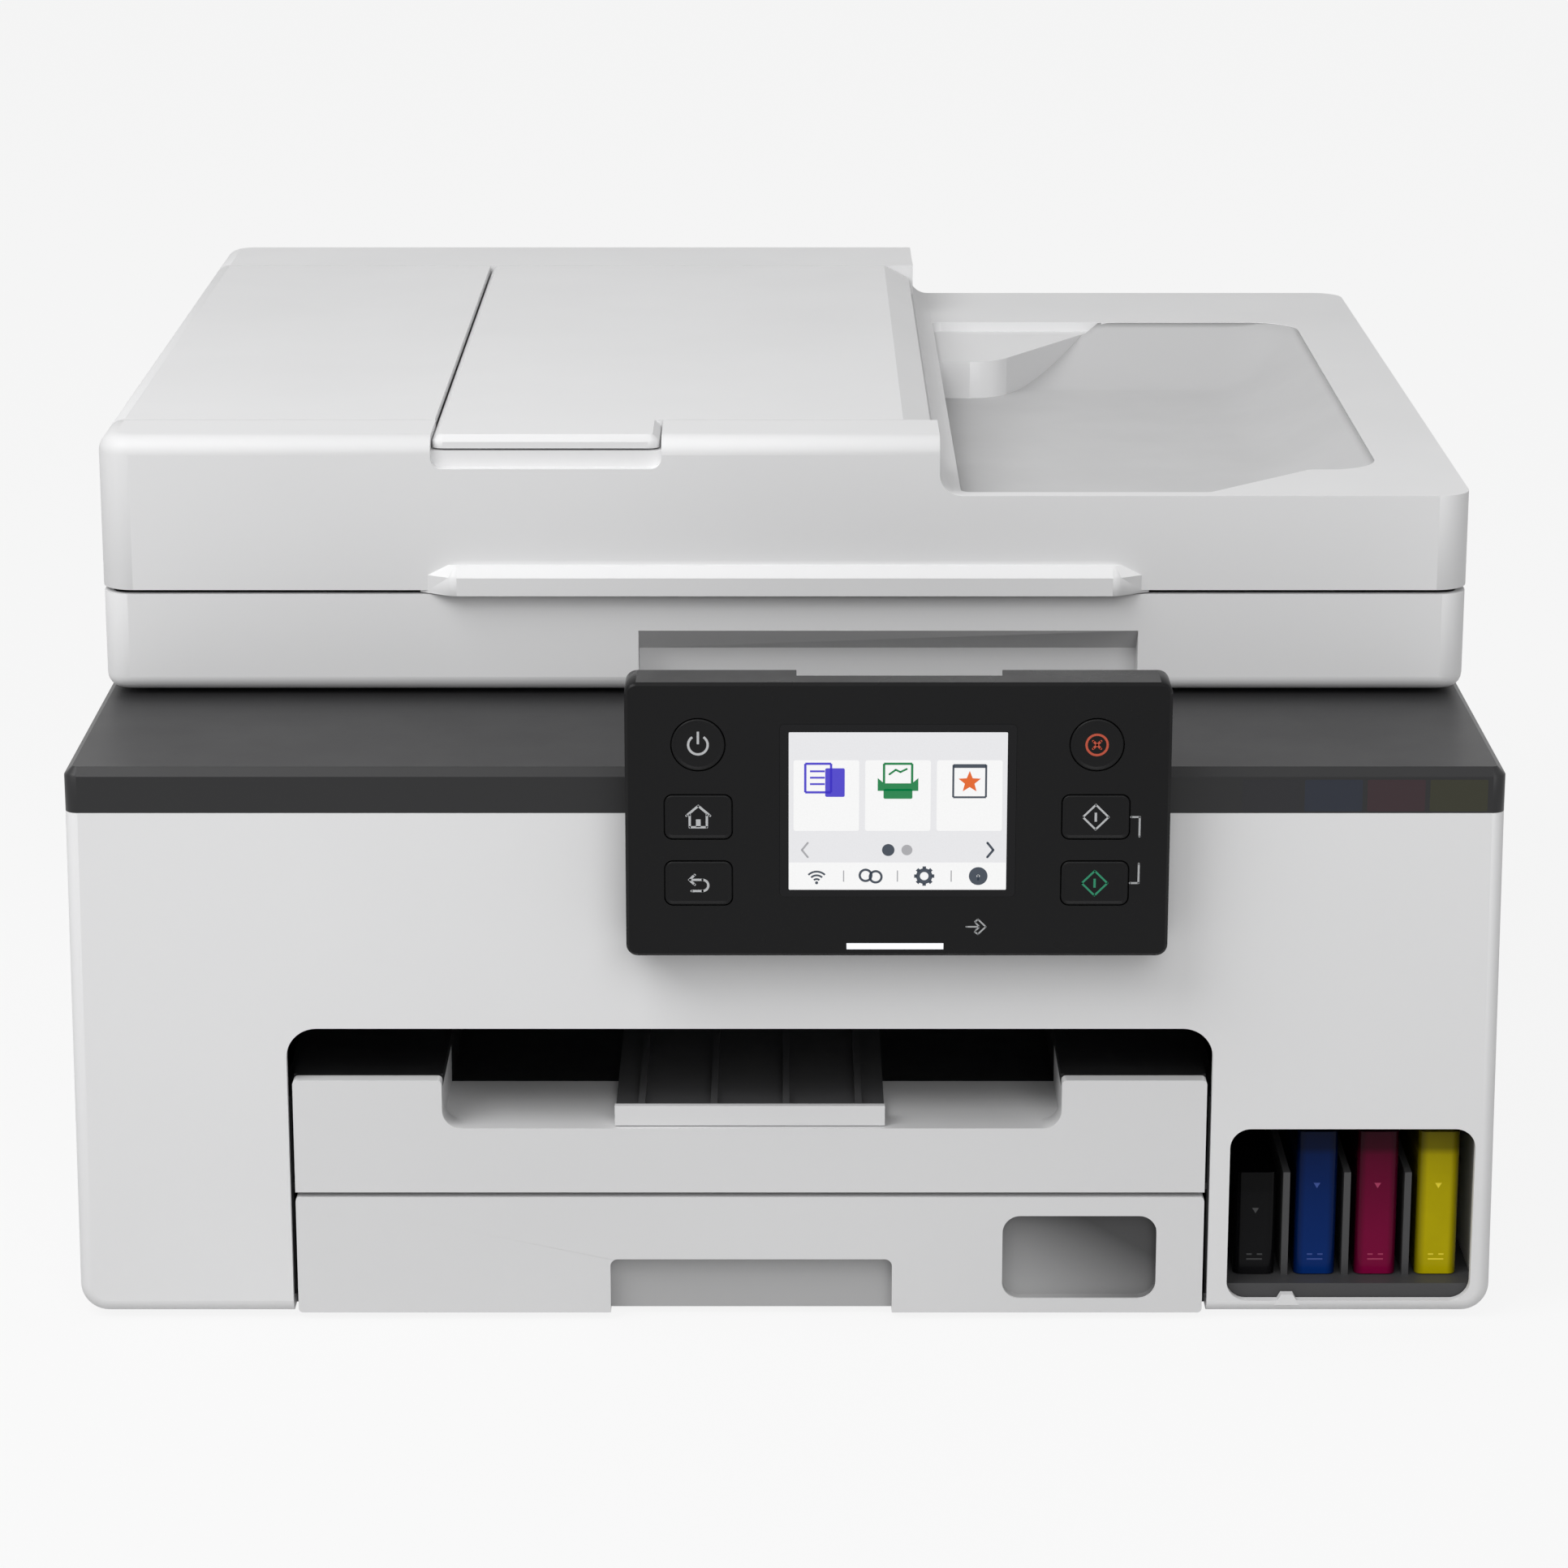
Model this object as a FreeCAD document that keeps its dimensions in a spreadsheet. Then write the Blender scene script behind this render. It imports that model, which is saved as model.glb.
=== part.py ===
import FreeCAD, Part
import math
import os
import re

import Sketcher

# Ink-tank printer with a flatbed scanner and a document feeder.
# X runs to the right, Y to the back and Z up. The origin is on the floor under the middle.

# Driving sizes in millimetres and degrees, kept in the sheet under these names.
OVERALL = {
    "half_width": 187.2,
    "base_flare": 1.3,
    "front_face": -194,
    "rear_face": 208,
    "cover_bottom": 1.8,
    "deck_bottom": 141,
    "deck_top": 153,
    "scanner_gap": 1.2,
    "scanner_height": 27.2,
    "scanner_setback": 75.5,
    "scanner_inset": 0.9,
    "scanner_rear_step": 3,
    "deck_rear_step": 1,
    "lid_gap": 1.2,
    "rim_height": 26.2,
    "block_height": 42.4,
    "wall": 2.5,
    "thin_wall": 1.8,
    "fit_gap": 0.3,
    "slide_gap": 0.5,
    "running_gap": 0.05,
}
BASE = {
    "base_corner": 3.5,
    "base_bottom_round": 7.5,
    "base_flange": 12,
    "slot_left": -131.3,
    "slot_right": 112.8,
    "slot_top": 82,
    "slot_corner": 8,
    "bay_wall_height": 56,
    "bay_rear": 150,
    "runner_width": 3,
    "runner_height": 2,
    "pan_rib_height": 4,
    "pan_rib_count": 6,
    "pan_rib_pitch": 46,
    "foot_radius": 9,
    "foot_edge": 26,
    "deck_edge": 2.2,
    "deck_left_margin": 19.2,
    "deck_right_margin": 9.2,
    "deck_front_depth": 84,
    "deck_rear_depth": 42,
    "deck_corner": 9,
    "deck_skirt": 5,
    "jam_left": -112,
    "jam_right": 112,
    "jam_bottom": 38,
    "jam_top": 128,
    "jam_pivot_rise": 3,
    "jam_handle_width": 46,
    "jam_handle_height": 14,
    "jam_block": 5,
    "jam_pin": 1.5,
    "jam_rib": 4,
    "jam_rib_inset": 18,
    "jam_rib_pitch": 46,
    "jam_rib_count": 5,
    "inlet_side": 37.2,
    "inlet_z": 30,
    "inlet_width": 24,
    "inlet_height": 16,
    "inlet_depth": 22,
    "inlet_corner": 2,
    "usb_z": 34,
    "usb_width": 13,
    "usb_height": 12,
    "vent_width": 22,
    "vent_height": 2.4,
    "vent_pitch": 6,
    "vent_count": 8,
    "vent_z": 70,
}
TRAYS = {
    "tray_side_gap": 1.3,
    "tray_front_depth": 8,
    "cassette_bottom": 2,
    "cassette_height": 32.8,
    "cassette_sheet": 2,
    "cassette_wall_top": 28,
    "cassette_rear": 140,
    "grip_left": -46.5,
    "grip_right": 28.6,
    "grip_top": 17.2,
    "grip_depth": 4.5,
    "scoop_left": 58,
    "scoop_right": 99,
    "scoop_bottom": 6,
    "scoop_top": 29.5,
    "scoop_corner": 4.7,
    "scoop_depth": 3.4,
    "arm_notch_half": 19,
    "guide_x": 88,
    "guide_length": 70,
    "guide_height": 19,
    "guide_front": -40,
    "guide_travel": 40,
    "guide_slot_width": 6,
    "guide_foot": 14,
    "tray_corner": 3,
    "front_edge": 1.2,
    "grip_corner": 2,
    "output_gap": 1.4,
    "output_height": 31.4,
    "output_rear": -24,
    "recess_left": -90.6,
    "recess_right": 73.2,
    "recess_bottom": 54.2,
    "recess_corner": 5,
    "extension_left": -45,
    "extension_right": 26.5,
    "extension_top": 60,
    "extension_length": 118,
    "extension_setback": 1.5,
    "extension_grip": 6,
    "extension_rib_count": 4,
}
TANKS = {
    "window_pillar": 5.2,
    "window_margin": 4.2,
    "window_bottom": 5.4,
    "window_top": 54,
    "window_corner": 5.4,
    "window_peg": 3.2,
    "window_peg_height": 1.7,
    "tank_width": 11,
    "tank_bottom": 9.6,
    "tank_top": 50,
    "black_tank_top": 38.5,
    "tank_setback": 9,
    "tank_length": 123,
    "tank_round": 2,
    "neck_reach": 101,
    "neck_radius": 4.4,
    "neck_bore": 2.6,
    "neck_top": 60,
    "cap_radius": 5.2,
    "cap_height": 4,
    "cap_hinge_back": 10,
    "cap_pin": 1.2,
    "cap_arm": 4,
    "cap_ear": 1.8,
    "cap_knuckle": 2.2,
    "cap_plug": 1.8,
    "cap_plug_depth": 2.5,
    "neck_depth": 6,
}
ENGINE = {
    "frame_left_margin": 35.2,
    "frame_right_margin": 13.2,
    "frame_front": -8,
    "frame_rear": 113,
    "frame_top": 124,
    "frame_sheet": 2,
    "frame_back_bottom": 62,
    "frame_foot": 8,
    "frame_hole": 14,
    "rail_y": 70,
    "rail_z": 112,
    "rail_radius": 5,
    "park_margin": 38,
    "carriage_half": 32,
    "carriage_front": 15,
    "carriage_rear": 95,
    "carriage_bottom": 93,
    "carriage_top": 133,
    "head_drop": 2,
    "carriage_corner": 6,
    "divider_count": 3,
    "belt_y": 104,
    "belt_width": 6,
    "belt_thickness": 1.2,
    "pulley_radius": 8,
    "pulley_gap": 0.3,
    "pulley_shaft": 2,
    "drive_pulley_margin": 16,
    "idler_pulley_margin": 14,
    "motor_radius": 13,
    "motor_length": 26,
    "feed_y": 72,
    "feed_z": 78,
    "feed_radius": 6,
    "feed_shaft": 4,
    "feed_gear": 11,
    "feed_gear_width": 5,
    "roller_gap": 0.4,
    "pinch_radius": 3.5,
    "pinch_shaft": 1.8,
    "pinch_count": 5,
    "pinch_width": 18,
    "roller_margin": 8,
    "eject_y": 3,
    "eject_z": 76,
    "eject_radius": 4.5,
    "eject_shaft": 3,
    "sheet_left": -114,
    "sheet_right": 96,
    "platen_front": 12,
    "platen_rear": 62,
    "platen_top": 80,
    "platen_height": 7,
    "platen_rib": 1.5,
    "platen_rib_width": 2,
    "platen_rib_pitch": 21,
    "platen_rib_count": 10,
    "purge_width": 68,
    "purge_front": 18,
    "purge_rear": 60,
    "purge_bottom": 62,
    "purge_top": 86,
    "purge_cap_top": 89,
    "arm_pivot_y": 100,
    "arm_pivot_z": 66,
    "arm_pin": 2.5,
    "arm_half": 5,
    "arm_knuckle": 5,
    "arm_ear_gap": 1,
    "arm_ear": 4,
    "pickup_y": 124,
    "pickup_z": 20,
    "pickup_radius": 9,
    "pickup_width": 9,
    "board_margin": 16.2,
    "board_thickness": 1.6,
    "board_front": -60,
    "board_rear_gap": 12,
    "board_top": 100,
    "board_chip": 28,
    "chip_inset": 30,
    "plug_count": 4,
    "supply_margin": 15.2,
    "supply_width": 30,
    "supply_setback": 16,
    "supply_length": 98,
    "supply_top": 66,
}
PANEL = {
    "panel_left": -41,
    "panel_right": 99,
    "panel_drop": 46.5,
    "panel_height": 73,
    "panel_proud": 14,
    "panel_gap": 0.5,
    "panel_corner": 3,
    "panel_wall": 2.2,
    "panel_plate": 2,
    "panel_edge": 0.8,
    "notch_left": 3,
    "notch_right": 56,
    "notch_depth": 1.5,
    "notch_setback": 7,
    "display_x": 29,
    "display_up": 39.1,
    "display_width": 60.6,
    "display_height": 46,
    "display_depth": 4,
    "display_corner": 1.2,
    "button_left": -22.2,
    "button_right": 79.8,
    "button_high_up": 56.7,
    "button_middle_up": 37.5,
    "button_low_up": 19.8,
    "button_round": 6.8,
    "button_half_width": 8.6,
    "button_half_height": 5.8,
    "button_corner": 2,
    "button_depth": 6,
    "button_proud": 0.3,
    "button_flange": 1,
    "light_left": 16,
    "light_right": 41,
    "light_up": 2.7,
    "light_height": 1.6,
    "panel_pivot_in": 7,
    "panel_pivot_rise": 5,
    "panel_knuckle": 4,
    "panel_pin": 2,
    "panel_hinge_out": 52,
    "panel_knuckle_width": 9,
    "panel_ear_width": 5,
}
SCANNER = {
    "scanner_corner": 7,
    "scanner_floor": 2,
    "finger_left": -40,
    "finger_right": 96.6,
    "finger_height": 17,
    "finger_depth": 9,
    "finger_slope": 7,
    "hinge_round": 4,
    "hinge_pin": 2,
    "lug_width": 10,
    "lug_radius": 3.7,
    "lug_side_gap": 0.6,
    "lug_front_room": 7,
    "scanner_lug_x": 150,
    "lid_lug_x": 118,
    "shelf": 3.5,
    "rear_strip": 9,
    "glass_half": 150,
    "glass_front": -104,
    "glass_rear": 114,
    "glass_lap": 4,
    "glass_thickness": 2.6,
    "strip_left": -173,
    "strip_right": -160,
    "head_width": 22,
    "head_park": -166,
    "head_height": 11,
    "head_under_glass": 0.8,
    "rod_y": 4,
    "rod_radius": 2.5,
    "rod_rise": 4,
}
LID = {
    "lid_inset": 0.5,
    "lid_corner": 9,
    "lid_hollow": 3,
    "pad_gap": 0.4,
    "pad_margin": 4,
    "lip_half": 99.4,
    "lip_drop": 0.8,
    "lip_height": 7,
    "lip_proud": 4,
    "lip_taper": 9,
    "lip_bevel": 2.8,
    "block_right": 42,
    "block_round": 5,
    "block_foot": 6,
    "cover_front": -94,
    "cover_rear": 163,
    "cover_gap": 0.6,
    "cover_split": -96,
    "feeder_floor": 7.4,
    "feeder_sill": 22.4,
    "feeder_left_gap": 0,
    "cover_thickness": 2.2,
    "cover_pin": 1.3,
    "pin_depth": 5,
    "chamber_wall": 6,
    "feeder_rib": 8,
    "feeder_rib_inset": 28,
    "feeder_rib_pitch": 66,
    "feeder_rib_count": 4,
    "flap_thickness": 3.6,
    "flap_pivot_x": 38.2,
    "flap_pivot_drop": 5.5,
    "flap_end_gap": 1.4,
    "flap_bevel": 8,
    "flap_bevel_drop": 4,
    "flap_lip_drop": 2,
    "flap_knuckle": 2.6,
    "flap_pin": 1.4,
    "flap_tab_right": -34,
    "flap_tab_reach": 22,
    "tab_scoop_depth": 2.6,
    "tab_scoop_height": 4.6,
    "input_drop": 12,
    "block_wall_drop": 9.6,
    "recess_floor": 11.4,
    "recess_side_rim": 21,
    "recess_front_rim": 5,
    "recess_rear_rim": 56,
    "recess_round": 14,
    "ledge_drop": 3,
    "ledge_depth": 54,
    "ledge_turn": 66,
    "ledge_end": 100,
    "ramp_left": 116,
    "ramp_depth": 30,
    "exit_height": 8,
    "adf_pickup_x": -112,
    "adf_pickup_drop": 12,
    "adf_pickup_radius": 6,
    "adf_feed_x": -146,
    "adf_feed_drop": 18,
    "adf_feed_radius": 9,
    "adf_shaft": 3,
    "adf_tyre_half": 32,
}

TANK_COLOURS = "black", "cyan", "magenta", "yellow"

# How close two places or directions count as the same when edges are picked.
SAME_PLACE = 0.05
SAME_DIRECTION = 0.999

# Places that follow from the driving sizes.
SCANNER_BOTTOM = "(deck_top + scanner_gap)"
SCANNER_TOP = f"({SCANNER_BOTTOM} + scanner_height)"
SCANNER_FRONT = "(front_face + scanner_setback)"
SCANNER_REAR = "(rear_face - scanner_rear_step)"
SCANNER_HALF = "(half_width - scanner_inset)"
LID_HALF = "(half_width - lid_inset)"
LID_BOTTOM = f"({SCANNER_TOP} + lid_gap)"
LID_RIM = f"({LID_BOTTOM} + rim_height)"
LID_TOP = f"({LID_BOTTOM} + block_height)"
DECK_REAR = "(rear_face - deck_rear_step)"
PAN_TOP = "(cover_bottom + wall)"
PAN_HALF = "(half_width - base_flange)"
INNER_HALF = "(half_width - wall)"
INNER_FRONT = "(front_face + wall)"
INNER_REAR = "(rear_face - wall)"
TRAY_LEFT = "(slot_left + tray_side_gap)"
TRAY_RIGHT = "(slot_right - tray_side_gap)"
TRAY_MID = "((slot_left + slot_right) / 2)"
TRAY_BACK = "(front_face + tray_front_depth)"
CASSETTE_TOP = "(cassette_bottom + cassette_height)"
OUTPUT_BOTTOM = f"({CASSETTE_TOP} + output_gap)"
OUTPUT_TOP = f"({OUTPUT_BOTTOM} + output_height)"
WINDOW_LEFT = "(slot_right + window_pillar)"
WINDOW_RIGHT = "(half_width - window_margin)"
TANK_PITCH = f"(({WINDOW_RIGHT} - {WINDOW_LEFT}) / {len(TANK_COLOURS)})"
TANK_FRONT = "(front_face + tank_setback)"
TANK_REAR = f"({TANK_FRONT} + tank_length)"
NECK_Y = f"({TANK_FRONT} + neck_reach)"
CAP_HINGE_Y = f"({NECK_Y} + cap_hinge_back)"
CAP_AXIS_Z = "(neck_top + fit_gap + cap_knuckle)"
GUIDE_SLOT = "(guide_front + guide_length / 2)"
FRAME_LEFT = "(frame_left_margin - half_width)"
FRAME_RIGHT = "(half_width - frame_right_margin)"
PINCH_Z = "(feed_z + feed_radius + roller_gap + pinch_radius)"
DRIVE_X = f"({FRAME_RIGHT} - drive_pulley_margin)"
IDLER_X = f"({FRAME_LEFT} + idler_pulley_margin)"
CARRIAGE_X = f"({FRAME_RIGHT} - park_margin)"
PANEL_BOTTOM = "(deck_top - panel_drop)"
PANEL_TOP = f"({PANEL_BOTTOM} + panel_height)"
PANEL_FRONT = "(front_face - panel_proud)"
PANEL_REAR = "(front_face - panel_gap)"
PANEL_MID = "((panel_left + panel_right) / 2)"
PANEL_PIVOT_Y = "(front_face + panel_pivot_in)"
PANEL_PIVOT_Z = "(deck_top + panel_pivot_rise)"
SCANNER_AXIS_Y = f"({SCANNER_REAR} - hinge_round)"
SCANNER_AXIS_Z = f"({SCANNER_BOTTOM} + hinge_round)"
LID_AXIS_Z = f"({LID_BOTTOM} + hinge_round)"
ROD_Z = f"({SCANNER_BOTTOM} + scanner_floor + rod_rise)"
FEEDER_SILL = f"({LID_BOTTOM} + feeder_sill)"
FEEDER_LEFT = f"(feeder_left_gap - {LID_HALF})"
FEEDER_PIVOT_X = f"({FEEDER_LEFT} + cover_thickness)"
FEEDER_PIVOT_Z = f"({FEEDER_SILL} + fit_gap + cover_thickness)"
FLAP_PIVOT_Z = f"({LID_TOP} - flap_pivot_drop)"

doc = FreeCAD.newDocument("inkjet_printer")
sheet = doc.addObject("Spreadsheet::Sheet", "sizes")
pieces = []


def fill_sheet(groups):
    """Write every driving size into the sheet as a plain number with its name."""
    row = 0
    for group in groups:
        for name, value in group.items():
            row += 1
            sheet.set(f"A{row}", name)
            sheet.set(f"B{row}", str(value))
            sheet.setAlias(f"B{row}", name)
    doc.recompute()


def in_sheet(text):
    """Point every size name in a formula at the sheet."""
    return re.sub(r"[a-z][a-z0-9_]*", lambda word: "sizes." + word.group(0), str(text))


def bind(item, setting, formula):
    item.setExpression(setting, in_sheet(formula))


def piece(name):
    """A new solid piece, drawn in the shared frame."""
    body = doc.addObject("PartDesign::Body", name)
    body.Label = name
    body.Placement = FreeCAD.Placement()
    pieces.append(body)
    return body


def origin_item(body, role):
    return [item for item in body.Origin.OriginFeatures if item.Role == role][0]


def sketch_on(body, plane, level):
    """A sketch on one of the three main planes, moved along its normal to the level."""
    sketch = body.newObject("Sketcher::SketchObject", f"{body.Name}_sketch")
    sketch.AttachmentSupport = [(origin_item(body, f"{plane}_Plane"), "")]
    sketch.MapMode = "FlatFace"
    sign = "-" if plane == "XZ" else ""
    bind(sketch, "AttachmentOffset.Base.z", f"{sign}({level})")
    return sketch


def hold_point(sketch, geometry, point, across, up):
    """Fix one point of a sketch at its distances from the sketch's origin."""
    for kind, formula in (("DistanceX", across), ("DistanceY", up)):
        place = Sketcher.Constraint(kind, -1, 1, geometry, point, value(formula))
        index = sketch.addConstraint(place)
        sketch.setExpression(f"Constraints[{index}]", in_sheet(formula))


def corner_arc(before, corner, after, radius):
    """The points where a corner's arc meets its two lines, and the arc itself."""
    inward = (before - corner).normalize()
    outward = (after - corner).normalize()
    half_angle = inward.getAngle(outward) / 2
    first = corner + inward * (radius / math.tan(half_angle))
    second = corner + outward * (radius / math.tan(half_angle))
    middle = corner + (inward + outward).normalize() * (radius / math.sin(half_angle))
    angles = [math.atan2(point.y - middle.y, point.x - middle.x) for point in (first, second)]
    if (angles[1] - angles[0]) % (2 * math.pi) > math.pi:
        angles.reverse()
    circle = Part.Circle(middle, FreeCAD.Vector(0, 0, 1), radius)
    return first, second, Part.ArcOfCircle(circle, *angles)


def draw_outline(sketch, corners):
    """A closed outline of lines. A corner given with a third size is rounded by an arc of that radius."""
    count = len(corners)
    places = [FreeCAD.Vector(value(corner[0]), value(corner[1]), 0) for corner in corners]
    arcs = {}
    for index, corner in enumerate(corners):
        if len(corner) == 3:
            around = places[index - 1], places[index], places[(index + 1) % count]
            arcs[index] = corner_arc(*around, value(corner[2]))
    for index in range(count):
        after = (index + 1) % count
        start = arcs[index][1] if index in arcs else places[index]
        end = arcs[after][0] if after in arcs else places[after]
        sketch.addGeometry(Part.LineSegment(start, end), False)
    for index, corner in enumerate(corners):
        before = (index - 1) % count
        if index not in arcs:
            sketch.addConstraint(Sketcher.Constraint("Coincident", before, 2, index, 1))
            hold_point(sketch, index, 1, corner[0], corner[1])
            continue
        first, second, arc = arcs[index]
        bend = sketch.addGeometry(arc, False)
        forward = (arc.StartPoint - first).Length < (arc.EndPoint - first).Length
        ends = (1, 2) if forward else (2, 1)
        sketch.addConstraint(Sketcher.Constraint("Tangent", before, 2, bend, ends[0]))
        sketch.addConstraint(Sketcher.Constraint("Tangent", bend, ends[1], index, 1))
        radius = sketch.addConstraint(Sketcher.Constraint("Radius", bend, arc.Radius))
        sketch.setExpression(f"Constraints[{radius}]", in_sheet(corner[2]))
        tip = sketch.addGeometry(Part.Point(places[index]), True)
        sketch.addConstraint(Sketcher.Constraint("PointOnObject", tip, 1, before))
        sketch.addConstraint(Sketcher.Constraint("PointOnObject", tip, 1, index))
        hold_point(sketch, tip, 1, corner[0], corner[1])


def draw_circle(sketch, across, up, radius):
    middle = FreeCAD.Vector(value(across), value(up), 0)
    sketch.addGeometry(Part.Circle(middle, FreeCAD.Vector(0, 0, 1), value(radius)), False)
    index = sketch.addConstraint(Sketcher.Constraint("Radius", 0, value(radius)))
    sketch.setExpression(f"Constraints[{index}]", in_sheet(radius))
    hold_point(sketch, 0, 3, across, up)


def rect(left, low, right, high, *radius):
    """Corners of a rectangle, all rounded alike if a radius is given."""
    return [(left, low, *radius), (right, low, *radius), (right, high, *radius), (left, high, *radius)]


def extrude(body, kind, plane, start, end, draw, *shape):
    """A pad or pocket of a drawn profile from start to end along the plane's axis."""
    sketch = sketch_on(body, plane, end if plane == "XZ" else start)
    draw(sketch, *shape)
    feature = body.newObject(f"PartDesign::{kind}", f"{body.Name}_{kind.lower()}")
    feature.Profile = sketch
    feature.Reversed = kind == "Pocket"
    bind(feature, "Length", f"({end}) - ({start})")
    return feature


def add(body, plane, start, end, corners):
    return extrude(body, "Pad", plane, start, end, draw_outline, corners)


def cut(body, plane, start, end, corners):
    return extrude(body, "Pocket", plane, start, end, draw_outline, corners)


def add_disc(body, plane, start, end, across, up, radius):
    return extrude(body, "Pad", plane, start, end, draw_circle, across, up, radius)


def cut_disc(body, plane, start, end, across, up, radius):
    return extrude(body, "Pocket", plane, start, end, draw_circle, across, up, radius)


def turn(body, plane, level, height, profile):
    """A solid turned about a line along the plane's first axis at the given height."""
    sketch = sketch_on(body, plane, level)
    bind(sketch, "AttachmentOffset.Base.y", height)
    draw_outline(sketch, profile)
    feature = body.newObject("PartDesign::Revolution", f"{body.Name}_turned")
    feature.Profile = sketch
    feature.ReferenceAxis = (sketch, ["H_Axis"])
    feature.Angle = 360
    return feature


def row(body, features, axis, pitch, count):
    """Repeat features along an axis."""
    pattern = body.newObject("PartDesign::LinearPattern", f"{body.Name}_row")
    pattern.Originals = features
    pattern.Direction = (origin_item(body, f"{axis}_Axis"), [""])
    bind(pattern, "Length", f"({pitch}) * ({count} - 1)")
    bind(pattern, "Occurrences", count)
    body.Tip = pattern
    return pattern


def straight_edges(shape, axis, chosen):
    """Names of the straight edges along an axis whose middle point is chosen."""
    names = []
    for index, edge in enumerate(shape.Edges):
        if not isinstance(edge.Curve, Part.Line):
            continue
        along = abs(getattr(edge.Curve.Direction, axis.lower()))
        if along > SAME_DIRECTION and chosen(edge.CenterOfMass, shape.BoundBox):
            names.append(f"Edge{index + 1}")
    return names


def dress(body, kind, setting, size, axis, chosen):
    """Fillet or chamfer the chosen straight edges along an axis."""
    doc.recompute()
    base = body.Tip
    names = straight_edges(base.Shape, axis, chosen)
    if not names:
        raise RuntimeError(f"{body.Label}: no edge along {axis} to dress")
    feature = body.newObject(f"PartDesign::{kind}", f"{body.Name}_{kind.lower()}")
    feature.Base = (base, names)
    bind(feature, setting, size)
    return feature


def every(point, box):
    return True


def soften(body, axis, radius, chosen=every):
    return dress(body, "Fillet", "Radius", radius, axis, chosen)


def bevel(body, axis, size, chosen=every):
    return dress(body, "Chamfer", "Size", size, axis, chosen)


def value(formula):
    """The present number behind a formula."""
    return float(sheet.evalExpression(in_sheet(formula)))


def near(a, b):
    return abs(a - b) < SAME_PLACE


def base_pan():
    """Floor of the printer with the two walls of the paper bay, the output tray's runners and ribs."""
    body = piece("base_pan")
    left = f"fit_gap - {PAN_HALF}"
    right = f"{PAN_HALF} - fit_gap"
    front = f"{TRAY_BACK} + fit_gap"
    rear = "rear_face - base_flange - fit_gap"
    add(body, "XY", "cover_bottom", PAN_TOP, rect(left, front, right, rear, "base_corner"))
    wall_top = f"{PAN_TOP} + bay_wall_height"
    runner_top = f"{OUTPUT_BOTTOM} - fit_gap"
    for inner, outer, runner in (
        ("slot_left", "slot_left - wall", "slot_left + runner_width"),
        ("slot_right", "slot_right + wall", "slot_right - runner_width"),
    ):
        add(body, "XY", "cover_bottom", wall_top, rect(inner, front, outer, "bay_rear"))
        add(body, "XY", f"{runner_top} - runner_height", runner_top,
            rect(inner, front, runner, "output_rear"))
    stop_top = f"{PAN_TOP} + cassette_wall_top"
    add(body, "XY", "cover_bottom", stop_top,
        rect("slot_left", "bay_rear - wall", "slot_right", "bay_rear"))
    first_rib = "(front_face + supply_setback + supply_length + base_flange)"
    rib = add(body, "XY", "cover_bottom", f"{PAN_TOP} + pan_rib_height",
              rect("slot_left - wall - base_flange", first_rib, "slot_left - wall / 2",
                   f"{first_rib} + thin_wall"))
    row(body, [rib], "Y", "pan_rib_pitch", "pan_rib_count")


def main_cover():
    """Outer shell of the base: front with the tray slot and the tank window, two sides and the rear."""
    body = piece("main_cover")
    add(body, "XZ", "front_face", "rear_face", [
        ("-half_width - base_flare", "cover_bottom", "base_bottom_round"),
        ("half_width + base_flare", "cover_bottom", "base_bottom_round"),
        ("half_width", "deck_bottom"),
        ("-half_width", "deck_bottom"),
    ])
    soften(body, "Z", "base_corner")
    cut(body, "XY", PAN_TOP, "deck_bottom + wall",
        rect(f"-{INNER_HALF}", INNER_FRONT, INNER_HALF, INNER_REAR))
    cut(body, "XY", "cover_bottom - wall", f"{PAN_TOP} + wall",
        rect(f"-{PAN_HALF}", TRAY_BACK, PAN_HALF, "rear_face - base_flange", "base_corner"))
    cut(body, "XZ", "front_face - wall", f"{TRAY_BACK} + wall", [
        ("slot_left", "cover_bottom - wall"),
        ("slot_right", "cover_bottom - wall"),
        ("slot_right", "slot_top", "slot_corner"),
        ("slot_left", "slot_top", "slot_corner"),
    ])
    cut(body, "XZ", "front_face - wall", f"{INNER_FRONT} + wall",
        rect(WINDOW_LEFT, "window_bottom", WINDOW_RIGHT, "window_top", "window_corner"))
    peg = f"({WINDOW_LEFT} + {TANK_PITCH})"
    add(body, "XZ", "front_face", INNER_FRONT, [
        (f"{peg} - window_peg", "window_bottom - wall / 2"),
        (f"{peg} + window_peg", "window_bottom - wall / 2"),
        (f"{peg} + window_peg / 2", "window_bottom + window_peg_height"),
        (f"{peg} - window_peg / 2", "window_bottom + window_peg_height"),
    ])
    jam_hinge_blocks(body)
    rear_openings(body)


def jam_hinge_blocks(body):
    """Blocks inside the rear wall that carry the rear cover's pins."""
    pivot = "jam_bottom + jam_pivot_rise"
    for edge, out in (("jam_left", "-"), ("jam_right", "+")):
        start, end = sorted((edge, f"{edge} {out} jam_block"), key=value)
        add(body, "YZ", start, end, rect(f"{INNER_REAR} - jam_block", f"{pivot} - jam_block",
                                         f"{INNER_REAR} + wall / 2", f"{pivot} + jam_block"))
    cut(body, "XZ", f"{INNER_REAR} - wall", "rear_face + wall",
        rect("jam_left", "jam_bottom", "jam_right", "jam_top"))
    cut_disc(body, "YZ", "jam_left - jam_block + thin_wall", "jam_right + jam_block - thin_wall",
             INNER_REAR, pivot, "jam_pin + running_gap")


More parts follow.
